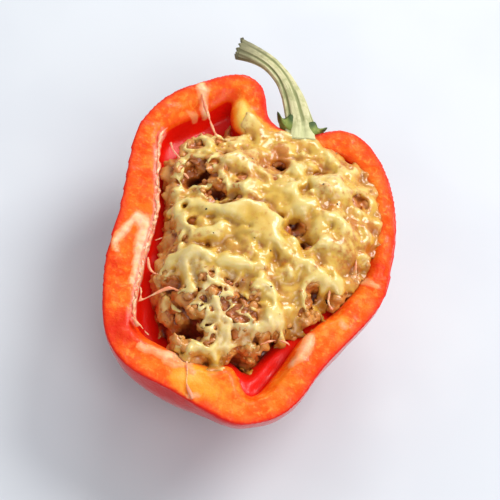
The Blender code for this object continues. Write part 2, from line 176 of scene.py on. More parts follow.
# Strands of cheese that hang free between the pepper's wall and the filling: x, y, z and half width
STRANDS = (
    (
        (-25.6, 48.6, 0, 0.7), (-23.8, 45.2, 0.2, 0.9), (-21.4, 41, 0.5, 0.7), (-19.2, 37.4, 1.1, 0.6),
        (-17, 34, 2.2, 0.8),
    ),
    ((-29.3, 28.8, 0.4, 0.6), (-27.6, 26, 1, 0.5), (-24.8, 23.4, 2, 0.5)),
    ((-28.6, 21.3, 0.2, 0.4), (-26, 20.6, 1, 0.6), (-22.6, 19, 2, 0.7), (-20.4, 17.4, 2.5, 0.5)),
    (
        (-22.6, -24, 0.5, 0.5), (-20.2, -22, 0.9, 0.5), (-18, -20, 1.6, 0.6), (-15.2, -18.2, 2.4, 0.7),
        (-12, -18.8, 2.8, 0.7), (-9.6, -21, 2.6, 0.6),
    ),
    ((-23.4, -19.2, 0.3, 0.5), (-22.6, -21, 0.4, 0.4), (-22.2, -23.8, 0.4, 0.5)),
    ((-22.8, -29, 0.3, 0.5), (-20, -30.6, 0.3, 0.5), (-17.4, -32.4, 0.2, 0.4), (-14.4, -34, 0.3, 0.5)),
    ((-24, -4, 0.3, 0.4), (-22.4, -2.8, 0.8, 0.4), (-20.8, -1.4, 1.6, 0.4)),
    ((-24.2, -9.6, 0.3, 0.5), (-22.6, -13, 0.4, 0.7), (-20.4, -14.4, 1, 0.6), (-18.6, -14, 1.6, 0.5)),
    ((13, -26.6, 1, 0.5), (15.6, -24.6, 1.2, 0.5), (18.4, -23.4, 0.8, 0.5), (21, -23.6, 0.4, 0.6)),
    ((-4.6, -37, 0.3, 0.5), (-3.2, -41, 0.4, 0.5), (-2.4, -44, 0.3, 0.6), (0.4, -47.4, 0.1, 0.7)),
    ((31.8, 7.4, 2.4, 0.5), (32.8, 3.6, 1.4, 0.6), (34.6, 0.8, 0.6, 0.6)),
    ((29.6, -9.6, 0.4, 0.6), (27.8, -7.6, 0.6, 0.6), (27.2, -4, 1.4, 0.6)),
)

# Where the cheese has browned in the oven (above zero) or stayed pale (below zero): x, y, radius and amount.
# The wide faint patches that darken the top and the right of the heap are painted shade, and those that
# lighten its middle are painted light.
BROWNED_AND_PAINTED_SHADE = (
    (3, 31, 3.6, 1.3), (1.5, 35.5, 2.4, 0.8), (21.4, 37.6, 2.2, 0.9), (29, 26, 3, 0.9),
    (33.5, 19.5, 2.4, 1), (35, 12.5, 2.2, 1), (22.7, -6.6, 1.8, 0.9), (22.6, 0.2, 2, 0.7),
    (28.4, 17, 1.8, 0.7), (13, 35.5, 3, 0.6), (-12, -16, 3, 0.6), (10, -18, 3.5, 0.5), (-20, -8, 2.5, 0.5),
    (-1, 27, 5, 0.35), (9, 31, 3, -0.8), (8.5, 24, 2, -0.8), (25, 15, 3, -0.6), (-6, 9, 5, -0.35),
    (11, -11, 3, -0.5), (15.5, -19.5, 3, -0.6), (-2, 34, 2.2, -0.5), (26, -2, 2, -0.6), (2, -30, 3, -0.4),
    (6.5, 41, 4, -0.3), (16, 38, 3, -0.2), (-7, 31, 7, 0.4), (26, 16, 6, 0.3), (-8, -8, 6, -0.3),
    (14, -3, 3, 0.5), (20, 19, 3, 0.5), (2, -3, 3, 0.4), (-2, -20, 9, -0.8), (10, -24, 6, -0.6),
    (-14, -12, 5, -0.5), (-1, 14, 2.6, 0.6), (17, 24, 2.4, 0.5), (-12, -3, 2.4, 0.5), (31, 5, 3, 0.4),
    (28, 9, 7, 0.45), (21, 31, 5, 0.3), (0, 38, 5, 0.35), (-10, 43, 3, 0.3),
)

# Thin cheese that has run over the cut face: thickness, then x, y and half width
SMEARS = (
    (0.9, (
        (-31, 2.6, 2), (-28.6, 1, 2.2), (-27.8, -4, 2), (-27, -10, 1.8), (-26, -15, 1.8), (-25.6, -18.6, 1),
    )),
    (0.7, ((-31, 2, 1.6), (-33.2, -2.5, 1.8), (-34.6, -7.6, 1.5), (-33.6, -9.8, 1))),
    (0.8, ((-27.6, 53, 1.5), (-25.6, 49.4, 2.1), (-23.6, 45.4, 1.5))),
    (0.6, ((-18, -36.6, 1.2), (-12, -37, 1.8), (-7, -36.6, 1.6), (-3.6, -36.8, 1.2))),
    (0.5, ((-10, -36, 1.4), (-9.4, -39, 1), (-3.6, -38.4, 1.2), (-2, -40, 1))),
    (0.6, ((-0.6, -47, 1.4), (1.4, -46, 1))),
    (0.6, ((25.4, -18.4, 1.2), (25.6, -22, 2), (24.6, -25.6, 2), (22.6, -28, 1.2))),
    (0.5, ((35, 3.5, 1), (37, 2.6, 1.5), (39.5, 2.2, 1.3))),
    (0.5, ((33, -12.6, 1.2), (34.4, -13.4, 1))),
    (0.4, ((-27.5, 42.4, 0.9), (-25.6, 42.6, 0.8))),
)

# The middle of the cavity. Angles around it are in degrees from +X.
CAVITY_MIDDLE = (3, 4)

# Where the lumpy line of dried cheese clings to the inner edge of the left wall: first and last angle
FROTH_ARC = (138, 237)

# Where the mince nears the wall: first and last angle, and how far it stays off the wall
ATTACHED_ARCS = ((-20, 104, 1.2), (148, 200, 4.3), (200, 221, 5.2), (252, 266, 1.5))

# How deep the red lining lies next to the wall, where the mince has shrunk away: angle, and depth
LINING = (
    (-20, 4), (20, 5), (60, 7), (100, 9), (125, 9), (145, 6.5), (170, 4.5), (210, 4.5), (226, 8), (246, 8),
    (256, 4.5), (275, 3), (300, 3), (325, 3), (340, 4),
)

# The lining's cross-section: how far from the wall, and how much deeper than at the wall
LINING_PROFILE = ((-1.5, -0.3), (1, 0.6), (3.5, 1.4), (8, 4), (8, 6), (-1.5, 4))

# The calyx: its middle, and its cross-section as reach, lift towards the tip, and share in the teeth
CALYX_MIDDLE = (5, 45.6, -1.2)
CALYX_PROFILE = (
    (0.45, 0.5, 0), (0.8, 0.9, 0.1), (1.02, 0.6, 0.45), (1.16, 1.3, 1), (1.1, 0.9, 1), (0.98, -0.2, 0.5),
    (0.7, -0.9, 0.2), (0.4, -1, 0),
)

# The stem: x, y and z of its middle line, and its half width there, as in the solid that it stands for
STEM_LINE = (
    (6.6, 42.5, -1.4, 5.6), (5, 47.5, -1, 4.6), (2.6, 52.2, -0.5, 3.9), (-0.5, 57.2, 0.1, 3.3),
    (-4.4, 61.6, 0.6, 2.8), (-9.2, 64.9, 1, 2.6), (-14, 66.4, 1.3, 2.9), (-19.5, 66.9, 1.6, 3.5),
)

# Dark specks of herb and pepper on the cheese: x and y
SPECKS = (
    (-9.5, -2.9), (-1.1, -18.7), (-8.2, -0.6), (3.2, 1), (8.4, -0.6), (-4.6, 27.4), (11.6, -11.2),
    (-12.4, 6.8), (22.4, 20.6), (17, 24),
)


CELL = 0.4  # millimetres between two samples of a field
XS = np.arange(-42.0, 44.2, CELL)
YS = np.arange(-50.0, 58.2, CELL)
GRID_X, GRID_Y = np.meshgrid(XS, YS, indexing="ij")


def at(x, y, z=0.0):
    """A place given in millimetres over the cut face, in the frame's metres."""
    return Vector((x * MM, y * MM, CUT + z * MM))


def in_millimetres(place):
    """The reverse of at(): a place in the frame as millimetres over the cut face."""
    return place.x / MM, place.y / MM, (place.z - CUT) / MM


def linear(colour):
    """An sRGB hex colour as linear red, green, blue and alpha."""
    shares = [int(colour[i : i + 2], 16) / 255 for i in (1, 3, 5)]
    return (*[c / 12.92 if c <= 0.04045 else ((c + 0.055) / 1.055) ** 2.4 for c in shares], 1.0)


def grain(place, size, seed=0):
    """Smooth noise between about -1 and 1 whose lumps are so many millimetres across."""
    return noise.noise(place / (size * MM) + Vector((seed * 17.3, seed * 9.1, seed * 5.7)))


def smoothstep(value, low, high):
    """A smooth rise from 0 at low to 1 at high."""
    share = min(1, max(0, (value - low) / (high - low)))
    return share * share * (3 - 2 * share)


def patched(place, patches):
    """The sum at a place of soft round patches, each with its x, y, radius and amount."""
    x, y, _ = in_millimetres(place)
    return sum(
        amount * math.exp(-((x - px) ** 2 + (y - py) ** 2) / radius**2) for px, py, radius, amount in patches
    )


# ---------------------------------------------------------------- meshes

def mesh_from(name, bm):
    """A mesh that takes over everything in a bmesh."""
    mesh = bpy.data.meshes.new(name)
    bm.to_mesh(mesh)
    bm.free()
    return mesh


def placed(name, data):
    """A new object in the scene, at the origin."""
    made = bpy.data.objects.new(name, data)
    bpy.context.scene.collection.objects.link(made)
    return made


def welded(node):
    """A bmesh of a solid, whose loose triangles are joined first."""
    bm = bmesh.new()
    bm.from_mesh(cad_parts[node].data)
    bmesh.ops.remove_doubles(bm, verts=bm.verts, dist=0.005 * MM)
    bm.normal_update()
    return bm


def spread(start, stop=()):
    """All faces that can be reached from a face without crossing into the faces of stop."""
    found = set()
    waiting = [start]
    while waiting:
        face = waiting.pop()
        if face not in found and face not in stop:
            found.add(face)
            waiting.extend(other for edge in face.edges for other in edge.link_faces)
    return found


def drop_specks(bm):
    """Deletes the tiny loose cubes that a remesh leaves beside thin places."""
    waiting = set(bm.faces)
    specks = []
    while waiting:
        island = spread(next(iter(waiting)))
        waiting -= island
        if len(island) < SPECK_FACES:
            specks.extend(island)
    bmesh.ops.delete(bm, geom=specks, context="FACES")


def remeshed(bm, voxel, subdivisions=0):
    """One even closed skin of small quads around everything in a bmesh."""
    mesh = mesh_from("work", bm)
    work = placed("work", mesh)
    if subdivisions:
        rounding = work.modifiers.new("Rounding", "SUBSURF")
        rounding.levels = subdivisions
        rounding.render_levels = subdivisions
    skin = work.modifiers.new("Remesh", "REMESH")
    skin.mode = "VOXEL"
    skin.voxel_size = voxel
    made = bmesh.new()
    made.from_mesh(work.evaluated_get(bpy.context.evaluated_depsgraph_get()).to_mesh())
    bpy.data.objects.remove(work)
    bpy.data.meshes.remove(mesh)
    drop_specks(made)
    made.normal_update()
    return made


def smoothed(bm, times):
    """Evens out a bmesh by drawing its vertices towards their neighbours."""
    axes = {"use_axis_x": True, "use_axis_y": True, "use_axis_z": True}
    for _ in range(times):
        bmesh.ops.smooth_vert(bm, verts=bm.verts, factor=0.5, **axes)
    bm.normal_update()


def layers_of(bm, *names):
    """The vertex values of a bmesh with these names, made where they are missing."""
    floats = bm.verts.layers.float
    return [floats.get(name) or floats.new(name) for name in names]


def new_piece(name, bm, material, slot, *replaced):
    """Turns a bmesh into a finished piece that rides with the pepper."""
    mesh = mesh_from(name, bm)
    mesh.shade_smooth()
    mesh.materials.append(material)
    piece = placed(name, mesh)
    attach(piece, "root")
    if replaced:
        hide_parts(*replaced)


def join_into(bm, other):
    """Moves everything in another bmesh into a bmesh."""
    mesh = mesh_from("part", other)
    bm.from_mesh(mesh)
    bpy.data.meshes.remove(mesh)


def tree_of(bm, faces=None):
    """A search tree of a bmesh's faces, or of some of them."""
    bm.verts.index_update()
    corners = [[vert.index for vert in face.verts] for face in (bm.faces if faces is None else faces)]
    return BVHTree.FromPolygons([vert.co.copy() for vert in bm.verts], corners)


def trees_of(*names):
    """Search trees of finished pieces."""
    trees = []
    for name in names:
        if name not in bpy.data.objects:
            raise RuntimeError(f"Build {name} first")
        bm = bmesh.new()
        bm.from_mesh(bpy.data.objects[name].data)
        trees.append(BVHTree.FromBMesh(bm))
        bm.free()
    return trees


def fall(tree, x, y):
    """The highest point of a tree over a place in millimetres, or None."""
    return tree.ray_cast(at(x, y, 30), Vector((0, 0, -1)))[0]


def smooth_path(points, steps):
    """steps + 1 places along a Catmull-Rom curve through points of any number of dimensions."""
    points = [Vector(point) for point in points]
    knots = [2 * points[0] - points[1], *points, 2 * points[-1] - points[-2]]
    places = []
    for step in range(steps + 1):
        along = step / steps * (len(points) - 1)
        i = min(int(along), len(points) - 2)
        s = along - i
        before, start, end, after = knots[i : i + 4]
        places.append(
            start
            + (end - before) * (s / 2)
            + (2 * before - 5 * start + 4 * end - after) * (s * s / 2)
            + (3 * start - before - 3 * end + after) * (s**3 / 2)
        )
    return places


def axes_along(places, i):
    """The directions ahead, across and up at one place of a path."""
    ahead = (places[min(i + 1, len(places) - 1)] - places[max(i - 1, 0)]).to_3d().normalized()
    across = ahead.cross(Vector((0, 0, 1))).normalized()
    return ahead, across, across.cross(ahead)


def bridge(bm, *rings):
    """Joins rings of vertices, of which no two have the same middle."""
    edges = {edge for ring in rings for vert in ring for edge in vert.link_edges}
    bmesh.ops.bridge_loops(bm, edges=[edge for edge in edges if edge.is_wire])


def bridge_each(bm, rings):
    """Joins every ring of vertices to the next one, and the last to the first."""
    loops = [{edge for vert in ring for edge in vert.link_edges} for ring in rings]
    for loop, other in zip(loops, loops[1:] + loops[:1]):
        bmesh.ops.bridge_loops(bm, edges=[*loop, *other])
    bmesh.ops.recalc_face_normals(bm, faces=bm.faces)


def tubes_mesh(tubes, sides=10, flatness=0.8):
    """Closed tubes along places, each made alone, because an operator slows down in a large bmesh."""
    gathered = bmesh.new()
    for places, half_widths in tubes:
        bm = bmesh.new()
        rings = []
        for i, place in enumerate(places):
            _, across, up = axes_along(places, i)
            ring = bmesh.ops.create_circle(bm, segments=sides, radius=half_widths[i] * MM)["verts"]
            for vert in ring:
                vert.co = place + across * vert.co.x + up * vert.co.y * flatness
            rings.append(ring)
        bridge(bm, *rings)
        bmesh.ops.contextual_create(bm, geom=rings[0])
        bmesh.ops.contextual_create(bm, geom=rings[-1])
        join_into(gathered, bm)
    return gathered


# ---------------------------------------------------------------- fields of heights

class Field:
    """Values on the even grid, read between its samples."""

    def __init__(self, values):
        self.values = values

    def read(self, x, y):
        u = min(self.values.shape[0] - 1.001, max(0, (x - XS[0]) / CELL))
        v = min(self.values.shape[1] - 1.001, max(0, (y - YS[0]) / CELL))
        i, j = int(u), int(v)
        s, t = u - i, v - j
        z = self.values
        low = z[i, j] * (1 - s) + z[i + 1, j] * s
        high = z[i, j + 1] * (1 - s) + z[i + 1, j + 1] * s
        return low * (1 - t) + high * t


def blurred(values, sigma):
    """A Gaussian blur with a sigma in millimetres."""
    reach = int(3 * sigma / CELL) + 1
    weights = np.exp(-0.5 * (np.arange(-reach, reach + 1) * CELL / sigma) ** 2)
    weights /= weights.sum()
    for axis in (0, 1):
        padded = np.pad(values, [(reach, reach) if a == axis else (0, 0) for a in (0, 1)], mode="edge")
        size = values.shape[axis]
        values = sum(w * np.take(padded, range(k, k + size), axis=axis) for k, w in enumerate(weights))
    return values


def widened(values, radius):
    """Each sample takes the highest value within a radius in millimetres."""
    reach = int(radius / CELL)
    result = values.copy()
    for i in range(-reach, reach + 1):
        for j in range(-reach, reach + 1):
            if i * i + j * j <= reach * reach:
                result = np.maximum(result, np.roll(values, (i, j), (0, 1)))
    return result


def filled(values, radius, shrink):
    """Hollows narrower than a radius are filled, and the edges are drawn back by shrink."""
    return -widened(-widened(values, radius), shrink)


def grain_field(size, seed):
    """The noise of grain() at every sample."""
    return np.array([[grain(Vector((x * MM, y * MM, 0)), size, seed) for y in YS] for x in XS])


def support_field(trees):
    """The highest surface under each sample."""
    heights = np.full(GRID_X.shape, -20.0)
    for i, x in enumerate(XS):
        for j, y in enumerate(YS):
            hits = [hit.z for hit in (fall(tree, x, y) for tree in trees) if hit]
            if hits:
                heights[i, j] = (max(hits) - CUT) / MM
    return heights


def nearest_on(a, b, grid_x, grid_y):
    """Each sample's distance to the line from a to b, and how far along it that is."""
    dx, dy = b.x - a.x, b.y - a.y
    share = np.clip(((grid_x - a.x) * dx + (grid_y - a.y) * dy) / (dx * dx + dy * dy + 1e-9), 0, 1)
    return np.hypot(grid_x - a.x - share * dx, grid_y - a.y - share * dy), share


def inside_field(outline):
    """The distance to a closed outline in millimetres, positive inside it."""
    ring = smooth_path([(*point, 0) for point in outline + outline[:1]], 4 * len(outline))
    nearest = np.full_like(GRID_X, 1e9)
    inside = np.zeros(GRID_X.shape, bool)
    for a, b in zip(ring, ring[1:]):
        nearest = np.minimum(nearest, nearest_on(a, b, GRID_X, GRID_Y)[0])
        if a.y != b.y:
            crossing = a.x + (b.x - a.x) * (GRID_Y - a.y) / (b.y - a.y)
            inside ^= ((a.y > GRID_Y) != (b.y > GRID_Y)) & (GRID_X < crossing)
    return np.where(inside, nearest, -nearest)


def stroke_field(strokes, warp_x, warp_y, edge_power=0.5, flatness=1.0):
    """The thickness of cheese that strokes lay down, with flat tops that round off towards the edges."""
    grid_x, grid_y = GRID_X + warp_x, GRID_Y + warp_y
    total = np.zeros_like(GRID_X)
    for height, points in strokes:
        places = smooth_path(points, 4 * (len(points) - 1))
        best = np.zeros_like(GRID_X)
        for a, b in zip(places, places[1:]):
            away, share = nearest_on(a, b, grid_x, grid_y)
            best = np.maximum(best, 1 - (away / (a.z + (b.z - a.z) * share)) ** 2)
        total += (height * np.clip(best * flatness, 0, 1) ** edge_power) ** 4
    return total**0.25


# ---------------------------------------------------------------- the pepper's flesh

def wall_place(wall, angle, height, inward=0.0):
    """The place on the cavity's wall at an angle around its middle and a height over the cut face."""
    way = Vector((math.cos(math.radians(angle)), math.sin(math.radians(angle)), 0))
    hit = wall.ray_cast(at(*CAVITY_MIDDLE, height), way)[0]
    if hit is None:
        raise RuntimeError("The cavity has no wall there")
    return hit - way * inward * MM


def lining_mesh(wall):
    """A ring of flesh inside the cavity, which narrows it just under its edge."""
    angles, depths = zip(*LINING)
    bm = bmesh.new()
    rings = []
    for inward, deeper in LINING_PROFILE:
        ring = bmesh.ops.create_circle(bm, segments=120, radius=1)["verts"]
        for vert in ring:
            angle = math.degrees(math.atan2(vert.co.y, vert.co.x))
            depth = np.interp((angle - angles[0]) % 360 + angles[0], angles, depths)
            vert.co = wall_place(wall, angle, -float(depth) - deeper, inward)
        rings.append(ring)
    bridge_each(bm, rings)
    return bm


def froth_share(place, cavity_depth):
    """How much of the dried froth at the cavity's edge lies at a place."""
    turn = math.degrees(math.atan2(place.y / MM - CAVITY_MIDDLE[1], place.x / MM - CAVITY_MIDDLE[0])) % 360
    first, last = FROTH_ARC
    along = smoothstep(turn, first, first + 4) * (1 - smoothstep(turn, last - 6, last))
    near = (1 - smoothstep(cavity_depth, 0.7, 1.9)) * smoothstep(place.z, CUT - 3.4 * MM, CUT - 2.2 * MM)
    return along * near


def build_flesh(sizes):
    """The wall of the pepper: a smooth skin outside, a red lining inside and a mottled cut face."""
    bm = welded("pepper_shell")
    wall = tree_of(bm)
    cut = {face for face in bm.faces if face.normal.z > 0.9 and face.calc_center_median().z > CUT - 0.01 * MM}
    lowest = min(bm.verts, key=lambda vert: vert.co.z)
    skin = spread(lowest.link_faces[0], cut)
    cavity = [face for face in bm.faces if face not in skin and face not in cut]
    skin_tree = tree_of(bm, skin)
    cavity_tree = tree_of(bm, cavity)
    crease = bm.edges.layers.float.new("crease_edge")
    for edge in bm.edges:
        edge[crease] = float(sum(face in cut for face in edge.link_faces) == 1)
    limits = {"angle_face_threshold": math.radians(40), "angle_shape_threshold": math.radians(50)}
    bmesh.ops.join_triangles(bm, faces=[*skin, *cavity], **limits)
    bm = remeshed(bm, sizes.face, 2)
    join_into(bm, lining_mesh(wall))
    bm = remeshed(bm, sizes.face)
    smoothed(bm, 3)
    smears = Field(stroke_field(SMEARS, 1.1 * grain_field(3, 33), 1.1 * grain_field(3, 34), 1))
    skin_layer, cavity_layer, tint_layer, lining_layer, film_layer, froth_layer = layers_of(
        bm, "skin_depth", "cavity_depth", "tint", "lining", "film", "froth"
    )
    for vert in bm.verts:
        place = vert.co.copy()
        skin_depth = skin_tree.find_nearest(place)[3] / MM
        cavity_depth = cavity_tree.find_nearest(place)[3] / MM
        on_cut = smoothstep(place.z, CUT - 0.8 * MM, CUT - 0.3 * MM)
        relief = 0.35 * grain(place, 5) + 0.22 * grain(place, 2, 1) - 0.25
        vert.co.z += on_cut * smoothstep(min(skin_depth, cavity_depth), 0, 2) * relief * MM
        if skin_depth < cavity_depth:
            dent = 0.25 + 0.5 * grain(place, 13, 2) + 0.12 * grain(place, 4, 3)
            raised = smoothstep(place.z, 1.5 * MM, 6 * MM)
            vert.co -= vert.normal * max(0, dent) * raised * (1 - on_cut) * MM
        drop = 0.7 + patched(place, SLOPES)
        near_edge = 1 - smoothstep(cavity_depth, 0, 1.6 + drop)
        vert.co.z -= drop * near_edge * smoothstep(place.z, CUT - 3.5 * drop * MM, CUT) * MM
        film = smears.read(*in_millimetres(place)[:2]) * smoothstep(skin_depth, 0.2, 1.5)
        film *= smoothstep(place.z, CUT - 5 * MM, CUT - 3 * MM)
        froth = froth_share(place, cavity_depth)
        vert.co += vert.normal * 0.5 * film * max(0.2, 0.9 + 1.6 * grain(place, 1.6, 43)) * MM
        vert.co += vert.normal * 0.35 * froth * (0.4 + grain(place, 1.3, 44)) * MM
        vert[skin_layer] = skin_depth
        vert[cavity_layer] = cavity_depth
        vert[tint_layer] = patched(place, FLESH_PATCHES)
        under_rim = 1 - smoothstep(place.z, CUT - 2 * MM, CUT - 0.7 * MM)
        vert[lining_layer] = smoothstep(skin_depth, 0.6, 2) * under_rim
        vert[film_layer] = film
        vert[froth_layer] = froth
    new_piece("pepper_flesh", bm, flesh_material(sizes), "pepper_flesh", "pepper_shell")


# ---------------------------------------------------------------- the mince

CORE_FACE = 1.1 * MM  # the size of the core's faces before the lumps are fused into it
LUMP_ROWS = range(-17, 22)
LUMP_COLUMNS = range(-14, 16)

# How wide the lumps and the loose crumbles are, least and most, in millimetres
FUSED_LUMPS = (2.6, 6.8)
WALL_LUMPS = (3.2, 5)
SMALL_CRUMBLES = (0.9, 2.3)
LARGE_CRUMBLES = (2.3, 4)
SMALL_SHARE = 0.85

# The layers of lumps along the wall: height over the cut face, and how much further they stay off the wall
WALL_LAYERS = ((-5, 0), (-3, 0.3), (-1.2, 1.8))


def in_hollow(x, y, share=1.0):
    """Whether a place is in one of the hollows, within this share of its radius."""
    return any(math.hypot(x - hx, y - hy) < radius * share for hx, hy, radius, _ in HOLLOWS)


def crumble_shapes(count):
    """Rough crumbles, one unit in radius, that the scattering repeats."""
    shapes = []
    for seed in range(count):
        draw = random.Random(seed)
        stretch = Vector((draw.uniform(0.85, 1.45), draw.uniform(0.7, 1.05), draw.uniform(0.55, 0.9)))
        offset = Vector([draw.uniform(-50, 50) for _ in range(3)])
        bm = bmesh.new()
        for vert in bmesh.ops.create_icosphere(bm, subdivisions=2, radius=1)["verts"]:
            way = vert.co.normalized()
            reach = 1 + 0.55 * noise.noise(way * 1.2 + offset) + 0.5 * noise.noise(way * 2.7 + offset)
            vert.co = way * reach * stretch
        mesh = mesh_from("crumble", bm)
        mesh.attributes.new("shade", "FLOAT", "POINT")
        shapes.append(mesh)
    return shapes


def scatter(bm, shapes, place, size, draw, shade=0.0):
    """Adds one crumble to a bmesh, turned at random, as wide as size in millimetres."""
    crumble = draw.choice(shapes).copy()
    axis = Vector([draw.gauss(0, 1) for _ in range(3)]).normalized()
    turn = Matrix.Rotation(draw.uniform(0, math.tau), 3, axis).to_quaternion()
    crumble.transform(Matrix.LocRotScale(place, turn, Vector((1, 1, 1)) * (size / 2 * MM)))
    crumble.attributes["shade"].data.foreach_set("value", [shade] * len(crumble.vertices))
    bm.from_mesh(crumble)
    bpy.data.meshes.remove(crumble)


def mince_core(sizes, edge):
    """The solid heap drawn in a little, cut back to the mince's outline and hollowed."""
    core = welded("meat_filling")
    for vert, normal in [(vert, vert.normal.copy()) for vert in core.verts]:
        vert.co -= normal * sizes.inset
    core = remeshed(core, CORE_FACE)
    for vert in core.verts:
        x, y, _ = in_millimetres(vert.co)
        if vert.co.z > CUT - 9 * MM:
            vert.co.z -= 11 * smoothstep(-edge.read(x, y), -1.2, 3.2) * MM
            vert.co.z -= patched(vert.co, HOLLOWS) * MM
    return core


def build_mince(sizes):
    """The heap of mince: a fused body with a crumbled surface, and loose crumbles on top of it."""
    draw = random.Random(SEED)
    shapes = crumble_shapes(12)
    wall = tree_of(welded("pepper_shell"))
    edge = Field(inside_field(MINCE_EDGE))
    core = mince_core(sizes, edge)
    ground = tree_of(core)
    for row in LUMP_ROWS:
        for column in LUMP_COLUMNS:
            x = (column + draw.uniform(-0.5, 0.5)) * sizes.lump_spacing / MM
            y = (row + draw.uniform(-0.5, 0.5)) * sizes.lump_spacing / MM
            hit = fall(ground, x, y)
            size = draw.uniform(*FUSED_LUMPS)
            if hit and not in_hollow(x, y) and edge.read(x, y) >= 0.35 * size:
                scatter(core, shapes, hit + Vector((0, 0, (0.6 - 0.12 * size) * MM)), size, draw)
    for start, end, gap in ATTACHED_ARCS:
        for angle in range(start, end, 3):
            for height, inward in WALL_LAYERS:
                turn = angle + draw.uniform(-1, 1)
                place = wall_place(wall, turn, height, gap + inward + draw.uniform(-0.5, 0.9))
                place.z += draw.uniform(-0.6, 0.6) * MM
                scatter(core, shapes, place, draw.uniform(*WALL_LUMPS), draw)
    core = remeshed(core, sizes.face)
    for vert, normal in [(vert, vert.normal.copy()) for vert in core.verts]:
        if vert.co.z > CUT - 15 * MM:
            vert.co += normal * (0.45 * grain(vert.co, 2.3, 4) + 0.4 * grain(vert.co, 1.1, 5)) * MM
    smoothed(core, 1)
    ground = tree_of(core)
    loose = bmesh.new()
    for _ in range(sizes.crumbles):
        x = draw.uniform(-33, 36)
        y = draw.uniform(-41, 50)
        size = draw.uniform(*(SMALL_CRUMBLES if draw.random() < SMALL_SHARE else LARGE_CRUMBLES))
        hit = fall(ground, x, y)
        if hit and not in_hollow(x, y, 0.8) and edge.read(x, y) >= 0.4 * size:
            scatter(loose, shapes, hit - Vector((0, 0, 0.06 * size * MM)), size, draw, draw.random())
    level = Field(blurred(support_field([tree_of(core), tree_of(loose)]), 2.0))
    material = mince_material(sizes)
    for name, bm in (("mince_body", core), ("mince_crumbles", loose)):
        shade_layer, crest_layer = layers_of(bm, "shade", "crest")
        for vert in bm.verts:
            if bm is core:
                vert[shade_layer] = 0.5 + 0.6 * grain(vert.co, 4.5, 6)
            x, y, z = in_millimetres(vert.co)
            # crest: height over the blurred heap, which the material paints as highlight on the crests and as
            # shade in the crevices
            vert[crest_layer] = z - level.read(x, y)
        new_piece(name, bm, material, "cooked_mince", "meat_filling")
    for shape in shapes:
        bpy.data.meshes.remove(shape)


# ---------------------------------------------------------------- the cheese

def random_ridges(count):
    """Short curved folds, left by shreds that have almost melted."""
    draw = random.Random(SEED + 3)
    ridges = []
    for _ in range(count):
        x, y = draw.uniform(-27, 34), draw.uniform(-35, 40)
        turn, bend = draw.uniform(0, math.tau), draw.uniform(-1.4, 1.4)
        length, half_width = draw.uniform(2, 6.5), draw.uniform(0.6, 1.4)
        points = []
        for k in (-1, 0, 1):
            heading = turn + bend * k / 2
            px, py = x + k * math.cos(heading) * length / 2, y + k * math.sin(heading) * length / 2
            points.append((px, py, half_width))
        ridges.append((draw.uniform(0.3, 0.8), tuple(points)))
    return ridges


def cheese_fields(sizes, raw):
    """The cheese's thickness and the height of its folds, in millimetres."""
    warp_x = 2.2 * grain_field(5, 11) + 1.1 * grain_field(2, 12)
    warp_y = 2.2 * grain_field(5, 13) + 1.1 * grain_field(2, 14)
    thickness = stroke_field(BLANKETS, warp_x, warp_y, 1.3, 1.35)
    zone = np.clip(inside_field(MINCE_EDGE) / 2 + 0.3, 0, 1)
    bare = np.array([[patched(at(x, y), BARE) for y in YS] for x in XS])
    cover = np.clip(0.8 - bare + 2.2 * grain_field(3.4, 17) + 1.4 * grain_field(1.7, 18), 0, 1) * zone
    film = sizes.film / MM * cover
    open_share = np.ones_like(raw)
    for x, y, radius, _ in HOLLOWS:
        away = np.hypot(GRID_X - x + 0.25 * warp_x, GRID_Y - y + 0.25 * warp_y)
        open_share = np.minimum(open_share, np.clip((away - radius * 0.85) / 0.9, 0, 1))
    lumps = np.clip(0.9 + 0.8 * grain_field(3.6, 15) + 0.5 * grain_field(1.7, 16), 0.45, 1.4)
    thickness = np.maximum(0.86 * thickness * lumps, film) * np.sqrt(open_share)
    small = stroke_field(random_ridges(sizes.folds), 0.5 * warp_x, 0.5 * warp_y, 0.8)
    small *= 1 - 0.7 * np.clip((thickness - 1.2) / 1.2, 0, 1)
    folds = np.maximum(stroke_field(RIDGES, 0.4 * warp_x, 0.4 * warp_y, 0.9), small)
    near = np.clip(thickness / 0.25, 0, 1) * 0.75 + 0.25 * zone
    return thickness, folds * (0.9 + 0.8 * grain_field(2.2, 19)) * np.sqrt(open_share) * near


def sheet_between(top, bottom, covered):
    """A closed slab between two fields, where it is covered."""
    bm = bmesh.new()
    columns, rows = top.shape
    bmesh.ops.create_grid(bm, x_segments=columns - 1, y_segments=rows - 1, size=0.5)
    cells = {v: (round((v.co.x + 0.5) * (columns - 1)), round((v.co.y + 0.5) * (rows - 1))) for v in bm.verts}
    bmesh.ops.delete(bm, geom=[vert for vert in bm.verts if not covered[cells[vert]]], context="VERTS")
    for vert in bm.verts:
        i, j = cells[vert]
        vert.co = at(XS[i], YS[j], bottom[i, j])
    raised = bmesh.ops.extrude_face_region(bm, geom=bm.faces[:], use_keep_orig=True)["geom"]
    for vert in raised:
        if isinstance(vert, bmesh.types.BMVert):
            i = round((vert.co.x / MM - XS[0]) / CELL)
            j = round((vert.co.y / MM - YS[0]) / CELL)
            vert.co.z = CUT + top[i, j] * MM
    bmesh.ops.recalc_face_normals(bm, faces=bm.faces)
    return bm


